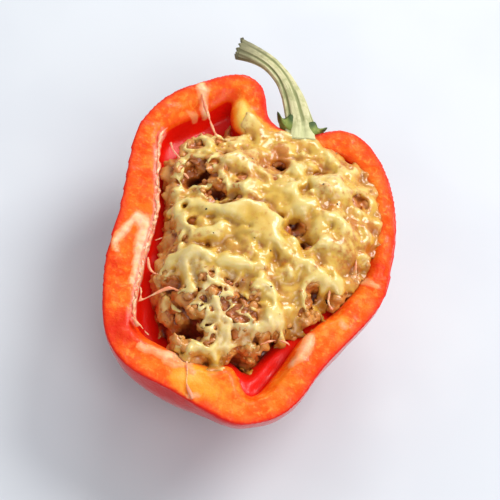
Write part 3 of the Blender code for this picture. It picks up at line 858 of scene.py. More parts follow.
def shred_tubes(count, ground):
    """Half-melted shreds that lie on the mince, thickest in the middle."""
    draw = random.Random(SEED + 1)
    edge = Field(inside_field(MINCE_EDGE))
    tubes = []
    for _ in range(count):
        x, y = draw.uniform(-27, 32), draw.uniform(-34, 38)
        turn, bend = draw.uniform(0, math.tau), draw.uniform(-1.2, 1.2)
        length, half_width = draw.uniform(3, 7), draw.uniform(0.45, 0.8)
        under_blanket = y > -9 and x > -8 and draw.random() < 0.7
        if in_hollow(x, y) or edge.read(x, y) < 1.5 or under_blanket:
            continue
        places, half_widths = [], []
        arch = draw.uniform(0.2, 1.1)
        for k in range(9):
            s = k / 8 - 0.5
            heading = turn + bend * s
            px, py = x + math.cos(heading) * s * length, y + math.sin(heading) * s * length
            place = at(px, py, ground.read(px, py) + 0.3 * half_width + arch * (0.6 - 2.4 * s * s))
            taper = 0.4 + 0.6 * math.sin(math.pi * (k + 0.5) / 9)
            places.append(place)
            half_widths.append(half_width * taper * (1 + 0.7 * grain(place, 1.5, 22)))
        tubes.append((places, half_widths))
    return tubes


TOP_MARGIN = 1.5  # how far under the heap's top, in millimetres, the folds start to be pressed flat
TOP_SQUEEZED = 1.4  # how far they then rise at the most
STEEPEST = 2.4  # on slopes steeper than this no cheese stays
THINNEST = 0.13  # where the cheese would be thinner than this, in millimetres, it has a gap


def build_cheese(sizes):
    """The blanket of melted cheese with its folds, and half-melted shreds on the mince."""
    raw = support_field(trees_of("mince_body", "mince_crumbles", "pepper_flesh"))
    thickness, folds = cheese_fields(sizes, raw)
    thin = blurred(filled(raw, 0.8, 0.8), 0.4)
    thick = blurred(filled(raw, 3.2, 2.4), 1.7)
    share = np.clip((thickness - 0.5) / 1.3, 0, 1)
    support = thin + (thick - thin) * share
    top = support + thickness + folds
    top += (blurred(top, 1.2) - top) * np.clip(share, 0.15, 0.75)
    over = np.maximum(top - (sizes.heap_top / MM - TOP_MARGIN), 0)
    top -= over - TOP_SQUEEZED * (1 - np.exp(-over / TOP_SQUEEZED))
    steep = np.hypot(*np.gradient(blurred(raw, 0.8), CELL))
    fade = np.clip((STEEPEST - steep) / 0.8, 0, 1)
    top = support + (top - support) * fade
    bm = sheet_between(top, np.minimum(support, thin) - 1.0, (thickness + folds) * fade > THINNEST)
    join_into(bm, tubes_mesh(shred_tubes(sizes.shreds, Field(thin))))
    bm = remeshed(bm, sizes.face)
    smoothed(bm, 2)
    raw_field = Field(blurred(raw, 0.5))
    level = Field(blurred(top, 2.2))
    thick_layer, crest_layer, brown_and_shade_layer = layers_of(bm, "thickness", "crest", "browned")
    for vert in bm.verts:
        if vert.normal.z > 0.1:
            vert.co += vert.normal * 0.07 * grain(vert.co, 1.6, 21) * MM
        x, y, z = in_millimetres(vert.co)
        vert[thick_layer] = z - raw_field.read(x, y)
        # crest: height over the blurred top, which the material paints as highlight on the crests and as
        # shade in the valleys and gaps
        vert[crest_layer] = z - level.read(x, y)
        # Oven browning and paleness, with painted shade on the top and right of the heap and painted light in
        # its middle
        vert[brown_and_shade_layer] = patched(vert.co, BROWNED_AND_PAINTED_SHADE)
    new_piece("cheese_blanket", bm, cheese_material(sizes), "melted_cheese", "melted_cheese")


# The two rows of the froth: how far along its steps are shifted, and how far it lies off the wall, or
# within the wall where that is below zero
FROTH_ROWS = ((0.0, -0.7), (0.4, 0.1))
FROTH_STEPS = 150


def build_strands(sizes):
    """Strings of cheese between the wall and the filling, and the froth along the left edge."""
    wall = tree_of(welded("pepper_shell"))
    tubes = []
    for points in STRANDS:
        stations = smooth_path(points, 5 * (len(points) - 1))
        places = [at(*station.xyz) for station in stations]
        lumps = [0.75 + 0.5 * grain(place, 1.5, 31) for place in places]
        tubes.append((places, [max(0.22, station.w * lump) for station, lump in zip(stations, lumps)]))
    first, last = FROTH_ARC
    for share, inward in FROTH_ROWS:
        places, half_widths = [], []
        for step in range(FROTH_STEPS):
            edge = wall_place(wall, first + (last - first) * (step + share) / FROTH_STEPS, -1.8, inward)
            sway = Vector((grain(edge, 2.5, 35), grain(edge, 2.5, 36), 0.6 * grain(edge, 2, 37))) * 0.6
            places.append(Vector((edge.x, edge.y, CUT - (0.5 + 0.5 * share) * MM)) + sway * MM)
            half_widths.append(max(0.2, 0.28 + 0.35 * grain(edge, 2.2, 38) + 0.3 * grain(edge, 0.9, 39)))
        tubes.append((places, half_widths))
    bm = remeshed(tubes_mesh(tubes), sizes.face)
    smoothed(bm, 2)
    new_piece("cheese_strands", bm, strand_material(sizes), "melted_cheese", "melted_cheese")


def build_specks(sizes):
    """Tiny flakes of herb and cracked pepper that lie on the cheese."""
    draw = random.Random(SEED + 2)
    trees = trees_of("cheese_blanket", "mince_body", "pepper_flesh")
    bm = bmesh.new()
    for x, y in SPECKS:
        hits = [hit for hit in (fall(tree, x, y) for tree in trees) if hit]
        place = max(hits, key=lambda hit: hit.z)
        turn = Matrix.Rotation(draw.uniform(0, math.tau), 3, "Z")
        size = draw.uniform(0.5, 1) * sizes.speck
        for vert in bmesh.ops.create_icosphere(bm, subdivisions=1, radius=1)["verts"]:
            shape = Vector((vert.co.x * draw.uniform(0.8, 1.4), vert.co.y * 0.7, vert.co.z * 0.3))
            vert.co = place + turn @ shape * size + Vector((0, 0, 0.05 * MM))
    new_piece("herb_specks", bm, speck_material(sizes), "dried_stem")


# ---------------------------------------------------------------- the stem

def build_stem(sizes):
    """The woody stem: ribbed lengthwise, wide at its foot in the pepper, flared and torn at its tip."""
    steps, sides = 90, 72
    bm = bmesh.new()
    groove_layer, along_layer = layers_of(bm, "groove", "along")
    fibre_layer = bm.verts.layers.float_vector.new("fibre_place")
    stations = smooth_path(STEM_LINE, steps)
    rings = []
    for i, station in enumerate(stations):
        ahead, across, up = axes_along(stations, i)
        along = i / steps
        flare = smoothstep(along, 0.88, 1)
        ring = bmesh.ops.create_circle(bm, segments=sides, radius=1)["verts"]
        for vert in ring:
            around = vert.co.copy()
            angle = math.atan2(around.y, around.x)
            sway = 0.5 * noise.noise(Vector((along * 3, 0, 5)))
            rib = math.cos(sizes.ribs * angle + 2.2 * along + sway + 0.6)
            groove = max(0, -rib) ** 1.5
            fibre = noise.noise(Vector((around.x * 5, around.y * 5, along * 7)))
            torn = flare * 1.1 * noise.noise(Vector((around.x * 3.5, around.y * 3.5, 9)))
            reach = station.w * (0.97 - 0.17 * groove + 0.05 * fibre + 0.1 * flare * (fibre + 0.3))
            flattened = around.y * (0.5 if angle > 0 else 1)
            vert.co = at(*station.xyz) + ((across * around.x + up * flattened) * reach + ahead * torn) * MM
            # groove: how deep a place lies in a groove, which the material darkens as painted shade
            vert[groove_layer] = groove
            vert[along_layer] = along
            vert[fibre_layer] = Vector((around.x, around.y, along * 1.6)) * 5 * MM
        rings.append(ring)
    bridge(bm, *rings)
    bmesh.ops.contextual_create(bm, geom=rings[0])
    tip = bmesh.ops.contextual_create(bm, geom=rings[-1])["faces"]
    for share, depth in ((0.35, 0.4), (0.8, -0.8)):
        bmesh.ops.inset_region(bm, faces=tip, thickness=share * MM, depth=depth * MM)
    bmesh.ops.recalc_face_normals(bm, faces=bm.faces)
    new_piece("stem_wood", bm, stem_material(sizes), "dried_stem", "stem")


def build_calyx(sizes):
    """The green collar round the foot of the stem, whose ragged teeth stand up from the shoulders."""
    bm = bmesh.new()
    (tooth_layer,) = layers_of(bm, "tooth")
    x_middle, y_middle, z_middle = CALYX_MIDDLE
    rings = []
    for reach, lift, tooth in CALYX_PROFILE:
        ring = bmesh.ops.create_circle(bm, segments=96, radius=1)["verts"]
        for vert in ring:
            around = vert.co.copy()
            angle = math.atan2(around.y, around.x)
            jag = abs(math.sin(sizes.teeth / 2 * angle + 0.9)) ** 2.5
            jag += 0.35 * noise.noise(Vector((around.x * 4, around.y * 4, 3)))
            radius = sizes.calyx_radius / MM * reach * (1 + 0.16 * tooth * jag)
            height = min(z_middle + 0.62 * radius * around.y, 0.6 + 0.5 * tooth * jag)
            forward = y_middle + lift * 1.1 + tooth * (0.5 + 1.8 * max(0, jag))
            vert.co = at(x_middle + radius * around.x, forward, height)
            vert[tooth_layer] = tooth * jag
        rings.append(ring)
    bridge_each(bm, rings)
    new_piece("calyx_leaf", bm, calyx_material(sizes), "dried_stem", "stem")


# ---------------------------------------------------------------- materials

def add_node(tree, kind, settings=None, inputs=None):
    """Adds a node, sets its properties, and gives each named input a value or a link from a socket."""
    made = tree.nodes.new(kind)
    for name, value in (settings or {}).items():
        setattr(made, name, value)
    for name, value in (inputs or {}).items():
        if isinstance(value, bpy.types.NodeSocket):
            tree.links.new(value, made.inputs[name])
        else:
            made.inputs[name].default_value = value
    return made


NOISE_ROUGHNESS = 0.58  # how strongly the finer octaves of every pattern show


def new_material(name, finish, sources, base, layers, varied, bumps):
    """Builds a material whose colour is laid over its base in layers.

    A source is a vertex value ("value",), a noise ("noise", millimetres, detail, distortion, place), or
    ("ADD" or "MULTIPLY", first, second, factor, offset), of one other source and a second that is scaled.
    A layer is a source, the values where it starts and where it is full, how much shows then, and its colour.
    varied names inputs that fade with a source, and bumps are a source, strength and depth in millimetres.
    """
    material = bpy.data.materials.new(name)
    material.use_nodes = True
    tree = material.node_tree
    shader = tree.nodes["Principled BSDF"]
    for socket, value in finish.items():
        shader.inputs[socket].default_value = value
    surface = add_node(tree, "ShaderNodeTexCoord").outputs["Object"]
    sockets = {}
    for source, (kind, *values) in sources.items():
        if kind == "value":
            made = add_node(tree, "ShaderNodeAttribute", {"attribute_name": source}).outputs["Fac"]
        elif kind == "noise":
            size, detail, distortion, place = (*values, None)[:4]
            where = surface
            if place:
                where = add_node(tree, "ShaderNodeAttribute", {"attribute_name": place}).outputs["Vector"]
            made = add_node(tree, "ShaderNodeTexNoise", inputs={
                "Vector": where, "Scale": 1 / (size * MM), "Detail": detail,
                "Roughness": NOISE_ROUGHNESS, "Distortion": distortion,
            }).outputs["Fac"]
        else:
            first, second, factor, offset = values
            inputs = {0: sockets[second], 1: factor, 2: offset}
            scaled = add_node(tree, "ShaderNodeMath", {"operation": "MULTIPLY_ADD"}, inputs).outputs[0]
            inputs = {0: sockets[first], 1: scaled}
            made = add_node(tree, "ShaderNodeMath", {"operation": kind}, inputs).outputs[0]
        sockets[source] = made
    colour = (*base, 1)
    fades = [(None, *layer) for layer in layers] + [(socket, *fade, None) for socket, fade in varied.items()]
    for socket, source, start, end, amount, shade in fades:
        low, high = amount if socket else (0, amount)
        share = add_node(tree, "ShaderNodeMapRange", {"interpolation_type": "SMOOTHSTEP"}, {
            "Value": sockets[source], "From Min": start, "From Max": end, "To Min": low, "To Max": high,
        }).outputs[0]
        if socket:
            tree.links.new(share, shader.inputs[socket])
        else:
            mixed = {0: share, 6: colour, 7: (*shade, 1)}
            colour = add_node(tree, "ShaderNodeMix", {"data_type": "RGBA"}, mixed).outputs[2]
    tree.links.new(colour, shader.inputs["Base Color"])
    normal = None
    for source, strength, depth in bumps:
        inputs = {"Strength": strength, "Distance": depth * MM, "Height": sockets[source]}
        if normal:
            inputs["Normal"] = normal
        normal = add_node(tree, "ShaderNodeBump", inputs=inputs).outputs[0]
    if normal:
        tree.links.new(normal, shader.inputs["Normal"])
    return material


def flesh_material(look):
    """Baked pepper: wet mottled cut flesh that glows with the light inside it, under a glossy red skin."""
    return new_material(
        "baked pepper flesh and waxy skin",
        {
            "Subsurface Weight": 0.7, "Subsurface Radius": (1.0, 0.25, 0.06), "Subsurface Scale": 4 * MM,
            "Specular IOR Level": 0.3, "Coat Roughness": 0.08, "IOR": 1.35,
        },
        {
            "skin_depth": ("value",), "cavity_depth": ("value",), "tint": ("value",), "lining": ("value",),
            "film": ("value",), "froth": ("value",),
            "blotch": ("noise", 5, 4, 0.4), "speck": ("noise", 1.4, 3, 0), "streak": ("noise", 3.2, 4, 0.8),
            "fine": ("noise", 0.7, 2, 0), "cloud": ("noise", 14, 4, 0.3),
            "tinted": ("ADD", "tint", "blotch", 0.9, -0.45),
            "clouded": ("ADD", "cloud", "skin_depth", -1.5, 0),
            "band": ("ADD", "skin_depth", "speck", 1.0, -0.5),
            "rim": ("ADD", "cavity_depth", "speck", 1.0, -0.5),
            "filmed": ("MULTIPLY", "film", "blotch", 1.4, 0.3),
            "frothed": ("MULTIPLY", "froth", "speck", 2.2, -0.2),
        },
        look.cut,
        (
            ("blotch", 0.42, 0.66, 1, look.cut_light), ("speck", 0.5, 0.7, 0.7, look.cut_pale),
            ("streak", 0.54, 0.68, 0.75, look.cut_pale), ("blotch", 0.45, 0.3, 0.6, look.cut_dark),
            ("band", 3.4, 1.0, 0.75, look.cut_dark), ("tinted", -0.25, -0.9, 0.9, look.cut_deep),
            ("tinted", -0.8, -1.4, 1, look.lining), ("tinted", 0.25, 0.9, 0.9, look.rib),
            ("tinted", 0.85, 1.6, 1, look.core), ("rim", 1.6, 0.3, 0.7, look.cut_dark),
            ("band", 1.6, 0.5, 1, look.cut_deep), ("lining", 0, 1, 1, look.lining),
            ("filmed", 0.03, 0.3, 0.85, look.smear), ("filmed", 0.3, 0.75, 0.85, look.smear_pale),
            ("frothed", 0.15, 0.6, 0.8, look.froth), ("frothed", 0.7, 1.1, 0.8, look.smear_pale),
            ("skin_depth", 0.75, 0.4, 1, look.skin), ("band", 0.0, -0.5, 0.35, look.skin_dark),
            ("clouded", 0.46, 0.68, 0.7, look.skin_dark),
        ),
        {
            "Roughness": ("blotch", 0.3, 0.7, (0.28, 0.42)),
            "Coat Weight": ("skin_depth", 0.5, 0.2, (0.12, 0.6)),
        },
        (("speck", 0.35, 0.4), ("fine", 0.2, 0.2)),
    )


def mince_material(look):
    """Fried minced beef: browned, granular lumps, wet with fat, with painted highlight on their crests and
    painted shade in the crevices between them.
    """
    return new_material(
        "fried minced beef",
        {
            "Subsurface Weight": 0.35, "Subsurface Radius": (1.0, 0.5, 0.2), "Subsurface Scale": 1.5 * MM,
            "Coat Weight": 0.7, "Coat Roughness": 0.12, "IOR": 1.4,
        },
        {
            "shade": ("value",), "crest": ("value",),
            "blotch": ("noise", 3, 4, 0), "fine": ("noise", 0.8, 3, 0), "grit": ("noise", 0.35, 2, 0),
            "mixed": ("ADD", "shade", "blotch", 1.2, -0.6),
        },
        look.brown,
        (
            ("mixed", 0.35, 0.0, 1, look.dark), ("mixed", 0.5, 0.9, 1, look.light),
            ("mixed", 0.95, 1.3, 1, look.pale), ("fine", 0.55, 0.72, 0.5, look.fat),
            # Painted highlight on the crests of the heap, in the fat colour, and painted shade in its
            # crevices
            ("crest", 0.6, 1.8, 0.6, look.fat), ("crest", -0.3, -2.2, 1, look.painted_crevice_shade),
        ),
        {"Roughness": ("fine", 0.3, 0.7, (0.3, 0.55))},
        (("fine", 0.5, 0.4), ("grit", 0.3, 0.2)),
    )


def cheese_material(look):
    """Melted cheese: oily and glowing, with painted highlight on its crests, painted shade in its valleys and
    in the gaps of the mince, and brown where the mince shows through.
    """
    return new_material(
        "melted gouda",
        {
            "Subsurface Weight": 0.7, "Subsurface Radius": (1.0, 0.85, 0.5), "Subsurface Scale": 1.2 * MM,
            "Specular IOR Level": 0.45, "Coat Weight": 0.7, "Coat Roughness": 0.07, "IOR": 1.4,
        },
        {
            "thickness": ("value",), "crest": ("value",), "browned": ("value",),
            "blotch": ("noise", 4, 3, 0), "mottle": ("noise", 1.6, 3, 0), "ripple": ("noise", 1.8, 2, 0),
            "fine": ("noise", 0.6, 2, 0), "thick": ("ADD", "thickness", "blotch", 2.4, -1.2),
            "baked": ("ADD", "browned", "mottle", 2.2, -1.1),
        },
        look.film_colour,
        (
            # The first layer is painted shade on the film in the gaps of the mince
            ("crest", -0.1, -1.1, 0.9, look.painted_gap_shade), ("thick", 0.0, 0.8, 1, look.thin),
            ("thick", 0.6, 1.5, 1, look.melted), ("thick", 2.0, 3.4, 1, look.thick),
            # Painted highlight on the crests, and painted shade in the valleys
            ("crest", 0.1, 0.9, 0.85, look.crest), ("crest", -0.1, -1.0, 0.8, look.painted_valley_shade),
            # Oven browning and paleness, partly painted shade on the top and right and painted light in the
            # middle
            ("baked", 0.1, 0.9, 0.85, look.browned), ("baked", -0.2, -1.0, 0.75, look.pale),
        ),
        {"Roughness": ("blotch", 0.3, 0.7, (0.24, 0.38))},
        (("ripple", 0.12, 0.3), ("fine", 0.05, 0.15)),
    )


def strand_material(look):
    """A thin string of melted cheese, dried pinkish where the pepper's juice has soaked in."""
    return new_material(
        "thin dried cheese",
        {
            "Subsurface Weight": 0.3, "Subsurface Radius": (1.0, 0.4, 0.15), "Subsurface Scale": 1.5 * MM,
            "Specular IOR Level": 0.4, "Coat Weight": 0.5, "Coat Roughness": 0.1, "IOR": 1.4,
        },
        {"blotch": ("noise", 2.5, 3, 0), "fine": ("noise", 0.8, 2, 0)},
        look.string,
        (("blotch", 0.4, 0.6, 1, look.string_light), ("blotch", 0.55, 0.75, 1, look.string_pale)),
        {"Roughness": ("blotch", 0.3, 0.7, (0.28, 0.42))},
        (("fine", 0.3, 0.25),),
    )


def stem_material(look):
    """A dried woody stem: straw-pale ribs, darker olive grooves painted in as shade, and fine lengthwise
    fibres.
    """
    return new_material(
        "dried pepper stem",
        {"IOR": 1.45},
        {
            "groove": ("value",), "along": ("value",),
            "fibre": ("noise", 1.0, 4, 0, "fibre_place"), "blotch": ("noise", 3, 3, 0),
            "fine": ("noise", 0.6, 2, 0), "dark": ("ADD", "groove", "fibre", 1.6, -0.8),
            "tip": ("ADD", "along", "blotch", 0.3, -0.15),
        },
        look.straw,
        (
            ("fibre", 0.5, 0.7, 1, look.pale), ("blotch", 0.45, 0.65, 0.7, look.olive),
            # The grooves are darkened as painted shade
            ("dark", 0.2, 0.8, 1, look.dark), ("tip", 0.68, 0.96, 0.85, look.tip),
            ("tip", 0.22, 0.05, 0.75, look.foot),
        ),
        {"Roughness": ("fibre", 0.3, 0.7, (0.5, 0.75))},
        (("fibre", 0.6, 0.5), ("fine", 0.2, 0.2)),
    )


def calyx_material(look):
    """A wilted green leaf collar, darker and browner towards its teeth."""
    return new_material(
        "wilted calyx leaf",
        {"IOR": 1.45, "Roughness": 0.55},
        {"tooth": ("value",), "blotch": ("noise", 1.6, 3, 0)},
        look.leaf,
        (("blotch", 0.5, 0.7, 1, look.leaf_light), ("tooth", 0.25, 0.8, 1, look.leaf_dark)),
        {},
        (("blotch", 0.4, 0.4),),
    )


def speck_material(look):
    """Dried herb and cracked pepper: nearly black flakes."""
    return new_material(
        "dried herb flakes", {"IOR": 1.45, "Roughness": 0.6}, {"blotch": ("noise", 0.3, 2, 0)}, look.herb,
        (("blotch", 0.45, 0.6, 1, look.herb_green),), {}, (),
    )


def floor_material(look):
    """A pale satin surface that takes soft shadows and a faint reflection."""
    return new_material(
        "pale satin glaze", {"IOR": 1.45, "Roughness": 0.35}, {"cloud": ("noise", 60, 2, 0)}, look.floor,
        (("cloud", 0.4, 0.6, 0.4, look.floor_shade),), {}, (),
    )


# ---------------------------------------------------------------- the stage

VIEW_AZIMUTH = 18.5  # degrees
VIEW_ELEVATION = 62
VIEW_DISTANCE = 500  # millimetres
# The place level with the cut face that the camera stands VIEW_DISTANCE off: across the view and away
VIEW_OFFSET = (-46.6, -13.7)

# The lamps: name, place from the pepper's middle and width, all in metres
LAMPS = (("key", (0.72, 0.86, 1.1), 0.85), ("fill", (0.7, -0.8, 1.2), 1.0), ("back", (-0.2, 1.24, 0.84), 0.5))


def build_stage(sizes):
    """A pale floor, soft light from the upper right, and the camera."""
    scene = bpy.context.scene
    scene.view_settings.view_transform = "Standard"
    bm = bmesh.new()
    bmesh.ops.create_grid(bm, x_segments=1, y_segments=1, size=1.5)
    mesh = mesh_from("floor", bm)
    mesh.materials.append(floor_material(sizes))
    floor = placed("floor", mesh)
    floor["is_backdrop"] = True
    world = bpy.data.worlds.new("studio")
    world.use_nodes = True
    background = world.node_tree.nodes["Background"]
    background.inputs["Color"].default_value = (*sizes.sky, 1)
    background.inputs["Strength"].default_value = sizes.sky_strength
    scene.world = world
    low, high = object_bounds()
    middle = (Vector(low) + Vector(high)) / 2
    for name, place, width in LAMPS:
        light = bpy.data.lights.new(name, "AREA")
        light.shape = "DISK"
        light.size = width
        light.energy = getattr(sizes, f"{name}_power")
        lamp = placed(name, light)
        lamp.location = middle + Vector(place)
        lamp.rotation_euler = (-Vector(place)).to_track_quat("-Z", "Y").to_euler()
    azimuth, elevation = math.radians(VIEW_AZIMUTH), math.radians(VIEW_ELEVATION)
    right = Vector((math.cos(azimuth), math.sin(azimuth), 0))
    away = Vector((-math.sin(azimuth), math.cos(azimuth), 0))
    back = Vector((0, 0, 1)) * math.sin(elevation) - away * math.cos(elevation)
    first = (-back).to_track_quat("-Z", "Y").to_matrix()
    place = at(0, 0) + (right * VIEW_OFFSET[0] + away * VIEW_OFFSET[1] + back * VIEW_DISTANCE) * MM
    turn = (-back).rotation_difference((middle - place).normalized()).to_matrix()
    camera = placed("camera", bpy.data.cameras.new("camera"))
    camera.data.sensor_width = 36
    camera.data.lens = sizes.lens
    camera.data.clip_start = 0.01
    camera.matrix_world = Matrix.Translation(place) @ (turn @ first).to_4x4()
    scene.camera = camera


# ---------------------------------------------------------------- the add-on

def length(name, description, millimetres):
    """A length that a user can change, written here in millimetres."""
    return FloatProperty(name=name, description=description, default=millimetres * MM, min=0, unit="LENGTH")


def number(name, description, default, least=1):
    """A number of things that a user can change."""
    return IntProperty(name=name, description=description, default=default, min=least)


def power(name, description, watts):
    """The power of a lamp that a user can change."""
    return FloatProperty(name=name, description=description, default=watts, unit="POWER")


def colour(name, description, value):
    """A colour that a user can change, written here as sRGB hex."""
    return FloatVectorProperty(
        name=name, description=description, default=linear(value)[:3], min=0, max=1, size=3, subtype="COLOR"
    )


class FleshSettings(bpy.types.PropertyGroup):
    face: length("Face size", "Size of the small faces of the flesh", 0.7)
    cut: colour("Cut flesh", "Main colour of the cut face", "#ee5a08")
    cut_light: colour("Cut flesh, light", "Large lighter blotches on the cut face", "#f67612")
    cut_pale: colour("Cut flesh, pale", "Pale streaks and specks on the cut face", "#f99232")
    cut_dark: colour("Cut flesh, dark", "Darker blotches and the edges of the cut face", "#e84004")
    cut_deep: colour("Cut flesh, deep", "The reddest flesh, next to the skin", "#d82405")
    lining: colour("Lining", "The wall of the cavity", "#e61606")
    rib: colour("Rib", "The golden ribs that run to the tip and the stem", "#f5a02a")
    core: colour("Core", "The pale partition under the stem", "#f3c25e")
    smear: colour("Smear", "Thin cheese on the cut face", "#f39a60")
    smear_pale: colour("Smear, pale", "Thicker cheese on the cut face", "#f6caa0")
    froth: colour("Froth", "The dried froth at the cavity's edge", "#f0806a")
    skin: colour("Skin", "The waxy skin outside", "#cc1408")
    skin_dark: colour("Skin, dark", "Darker mottling of the skin", "#a80c06")


class MinceSettings(bpy.types.PropertyGroup):
    face: length("Face size", "Size of the small faces of the mince", 0.5)
    inset: length("Core inset", "How far the core lies inside the heap", 1.6)
    lump_spacing: length("Lump spacing", "Distance between the lumps fused into the heap", 2.9)
    crumbles: number("Crumbles", "How many crumbles are dropped, of which about half land on the heap", 1200)
    brown: colour("Brown", "Main colour of the mince", "#bb6622")
    dark: colour("Dark", "Well browned crumbles", "#8c4410")
    light: colour("Light", "Lightly browned crumbles", "#ca8238")
    pale: colour("Pale", "The palest crumbles", "#d69c5e")
    # Fat colours the specks wet with fat, and is also the painted highlight on the heap's crests
    fat: colour("Fat", "Specks and crests that are wet with fat", "#da9e4c")
    # Painted shade in the gaps between the lumps
    painted_crevice_shade: colour("Crevice", "The gaps between the lumps", "#662204")


class CheeseSettings(bpy.types.PropertyGroup):
    face: length("Face size", "Size of the small faces of the cheese", 0.42)
    film: length("Film", "Thickness of the film over the mince", 0.4)
    heap_top: length("Heap top", "Height of the heap over the cut face", 10.2)
    folds: number("Folds", "How many small folds lie in the cheese", 200)
    shreds: number("Shreds", "How many half-melted shreds are dropped, of which some miss the mince", 260)
    film_colour: colour("Film", "The thinnest cheese, where the mince shows through", "#c67c30")
    # Painted shade on the film in the gaps of the mince
    painted_gap_shade: colour("Crust", "The film in the gaps of the mince", "#78380c")
    thin: colour("Thin", "Thin cheese", "#d09a3e")
    melted: colour("Melted", "Cheese of middling thickness", "#d9b048")
    thick: colour("Thick", "The thickest cheese", "#dab552")
    # Painted highlight on the crests of the folds
    crest: colour("Crest", "The crests of the folds", "#e6d084")
    # Painted shade in the valleys between the folds
    painted_valley_shade: colour("Valley", "The valleys between the folds", "#ac701a")
    # Browned also carries painted shade on the top and right of the heap
    browned: colour("Browned", "Spots that have browned in the oven", "#ba6814")
    # Pale also carries painted light in the middle of the heap
    pale: colour("Pale", "Spots that have stayed pale", "#ecd6a0")


class StrandSettings(bpy.types.PropertyGroup):
    face: length("Face size", "Size of the small faces of the strands", 0.38)
    speck: length("Speck", "Half width of the largest herb flake", 0.5)
    string: colour("String", "Strings of cheese soaked with juice", "#ef9068")
    string_light: colour("String, light", "Lighter stretches of the strings", "#f2ae80")
    string_pale: colour("String, pale", "The palest stretches of the strings", "#f4cfa4")
    herb: colour("Herb", "Dried herb flakes", "#2e2410")
    herb_green: colour("Herb, green", "The greener herb flakes", "#4a4a1e")


class StemSettings(bpy.types.PropertyGroup):
    ribs: number("Ribs", "How many ribs run along the stem", 6, 3)
    teeth: number("Teeth", "How many teeth the calyx has", 7, 3)
    calyx_radius: length("Calyx radius", "Radius of the collar round the stem's foot", 5.9)
    straw: colour("Straw", "Main colour of the stem", "#cdc694")
    pale: colour("Pale", "Pale fibres of the ribs", "#ddd8ab")
    olive: colour("Olive", "Greener stretches", "#a5a66c")
    # Painted shade in the grooves between the ribs
    dark: colour("Groove", "The grooves between the ribs", "#878a55")
    tip: colour("Tip", "The dried torn tip", "#6f6a4c")
    foot: colour("Foot", "The pale foot of the stem", "#cfcf98")
    leaf: colour("Leaf", "Main colour of the calyx", "#7d8c3c")
    leaf_light: colour("Leaf, light", "Lighter blotches of the calyx", "#a3a650")
    leaf_dark: colour("Leaf, dark", "The teeth of the calyx", "#3f5522")


class StageSettings(bpy.types.PropertyGroup):
    key_power: power("Key light", "Power of the main light", 18.5)
    fill_power: power("Fill light", "Power of the front light", 8)
    back_power: power("Back light", "Power of the light behind", 6)
    sky_strength: FloatProperty(name="Sky strength", description="Brightness of the sky", default=0.54, min=0)
    lens: FloatProperty(name="Lens", description="Focal length of the camera", default=130, unit="CAMERA")
    sky: colour("Sky", "Colour of the light from all around", "#f1f4fa")
    floor: colour("Floor", "Main colour of the floor", "#d3d7db")
    floor_shade: colour("Floor, shade", "Faint clouds in the floor", "#c9cdd3")


class PepperSettings(bpy.types.PropertyGroup):
    flesh: PointerProperty(type=FleshSettings)
    mince: PointerProperty(type=MinceSettings)
    cheese: PointerProperty(type=CheeseSettings)
    strands: PointerProperty(type=StrandSettings)
    stem: PointerProperty(type=StemSettings)
    stage: PointerProperty(type=StageSettings)


class PEPPER_OT_flesh(bpy.types.Operator):
    """Build the pepper's wall"""

    bl_idname = "pepper.flesh"
    bl_label = "Flesh"

    def execute(self, context):
        build_flesh(context.scene.pepper.flesh)
        return {"FINISHED"}


class PEPPER_OT_mince(bpy.types.Operator):
    """Build the heap of mince and its loose crumbles"""

    bl_idname = "pepper.mince"
    bl_label = "Mince"

    def execute(self, context):
        build_mince(context.scene.pepper.mince)
        return {"FINISHED"}


class PEPPER_OT_cheese(bpy.types.Operator):
    """Build the melted cheese, over the flesh and the mince"""

    bl_idname = "pepper.cheese"
    bl_label = "Cheese"

    def execute(self, context):
        build_cheese(context.scene.pepper.cheese)
        return {"FINISHED"}


class PEPPER_OT_strands(bpy.types.Operator):
    """Build the strings of cheese and the froth"""

    bl_idname = "pepper.strands"
    bl_label = "Strands"

    def execute(self, context):
        build_strands(context.scene.pepper.strands)
        return {"FINISHED"}


class PEPPER_OT_specks(bpy.types.Operator):
    """Lay the herb flakes on the cheese"""

    bl_idname = "pepper.specks"
    bl_label = "Specks"

    def execute(self, context):
        build_specks(context.scene.pepper.strands)
        return {"FINISHED"}


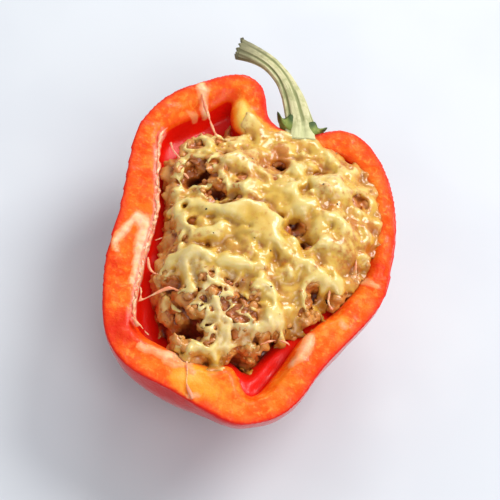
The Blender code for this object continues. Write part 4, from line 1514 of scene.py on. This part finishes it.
class PEPPER_OT_stem(bpy.types.Operator):
    """Build the stem"""

    bl_idname = "pepper.stem"
    bl_label = "Stem"

    def execute(self, context):
        build_stem(context.scene.pepper.stem)
        return {"FINISHED"}


class PEPPER_OT_calyx(bpy.types.Operator):
    """Build the leaf collar round the stem"""

    bl_idname = "pepper.calyx"
    bl_label = "Calyx"

    def execute(self, context):
        build_calyx(context.scene.pepper.stem)
        return {"FINISHED"}


class PEPPER_OT_stage(bpy.types.Operator):
    """Build the floor, the lights and the camera"""

    bl_idname = "pepper.stage"
    bl_label = "Stage"

    def execute(self, context):
        build_stage(context.scene.pepper.stage)
        return {"FINISHED"}


OPERATORS = {
    "flesh": (PEPPER_OT_flesh,),
    "mince": (PEPPER_OT_mince,),
    "cheese": (PEPPER_OT_cheese,),
    "strands": (PEPPER_OT_strands, PEPPER_OT_specks),
    "stem": (PEPPER_OT_stem, PEPPER_OT_calyx),
    "stage": (PEPPER_OT_stage,),
}


class PEPPER_PT_sidebar(bpy.types.Panel):
    bl_label = "Stuffed pepper"
    bl_idname = "PEPPER_PT_sidebar"
    bl_space_type = "VIEW_3D"
    bl_region_type = "UI"
    bl_category = "Pepper"

    def draw(self, context):
        for group, operators in OPERATORS.items():
            box = self.layout.box()
            settings = getattr(context.scene.pepper, group)
            for name in type(settings).__annotations__:
                box.prop(settings, name)
            for operator in operators:
                box.operator(operator.bl_idname)


CLASSES = (
    FleshSettings, MinceSettings, CheeseSettings, StrandSettings, StemSettings, StageSettings, PepperSettings,
    *[operator for operators in OPERATORS.values() for operator in operators], PEPPER_PT_sidebar,
)


def register():
    for cls in CLASSES:
        bpy.utils.register_class(cls)
    bpy.types.Scene.pepper = PointerProperty(type=PepperSettings)


def unregister():
    del bpy.types.Scene.pepper
    for cls in reversed(CLASSES):
        bpy.utils.unregister_class(cls)


def main():
    register()
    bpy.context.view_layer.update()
    bpy.ops.pepper.flesh()
    bpy.ops.pepper.mince()
    bpy.ops.pepper.cheese()
    bpy.ops.pepper.strands()
    bpy.ops.pepper.specks()
    bpy.ops.pepper.stem()
    bpy.ops.pepper.calyx()
    bpy.ops.pepper.stage()


if __name__ == "__main__":
    main()
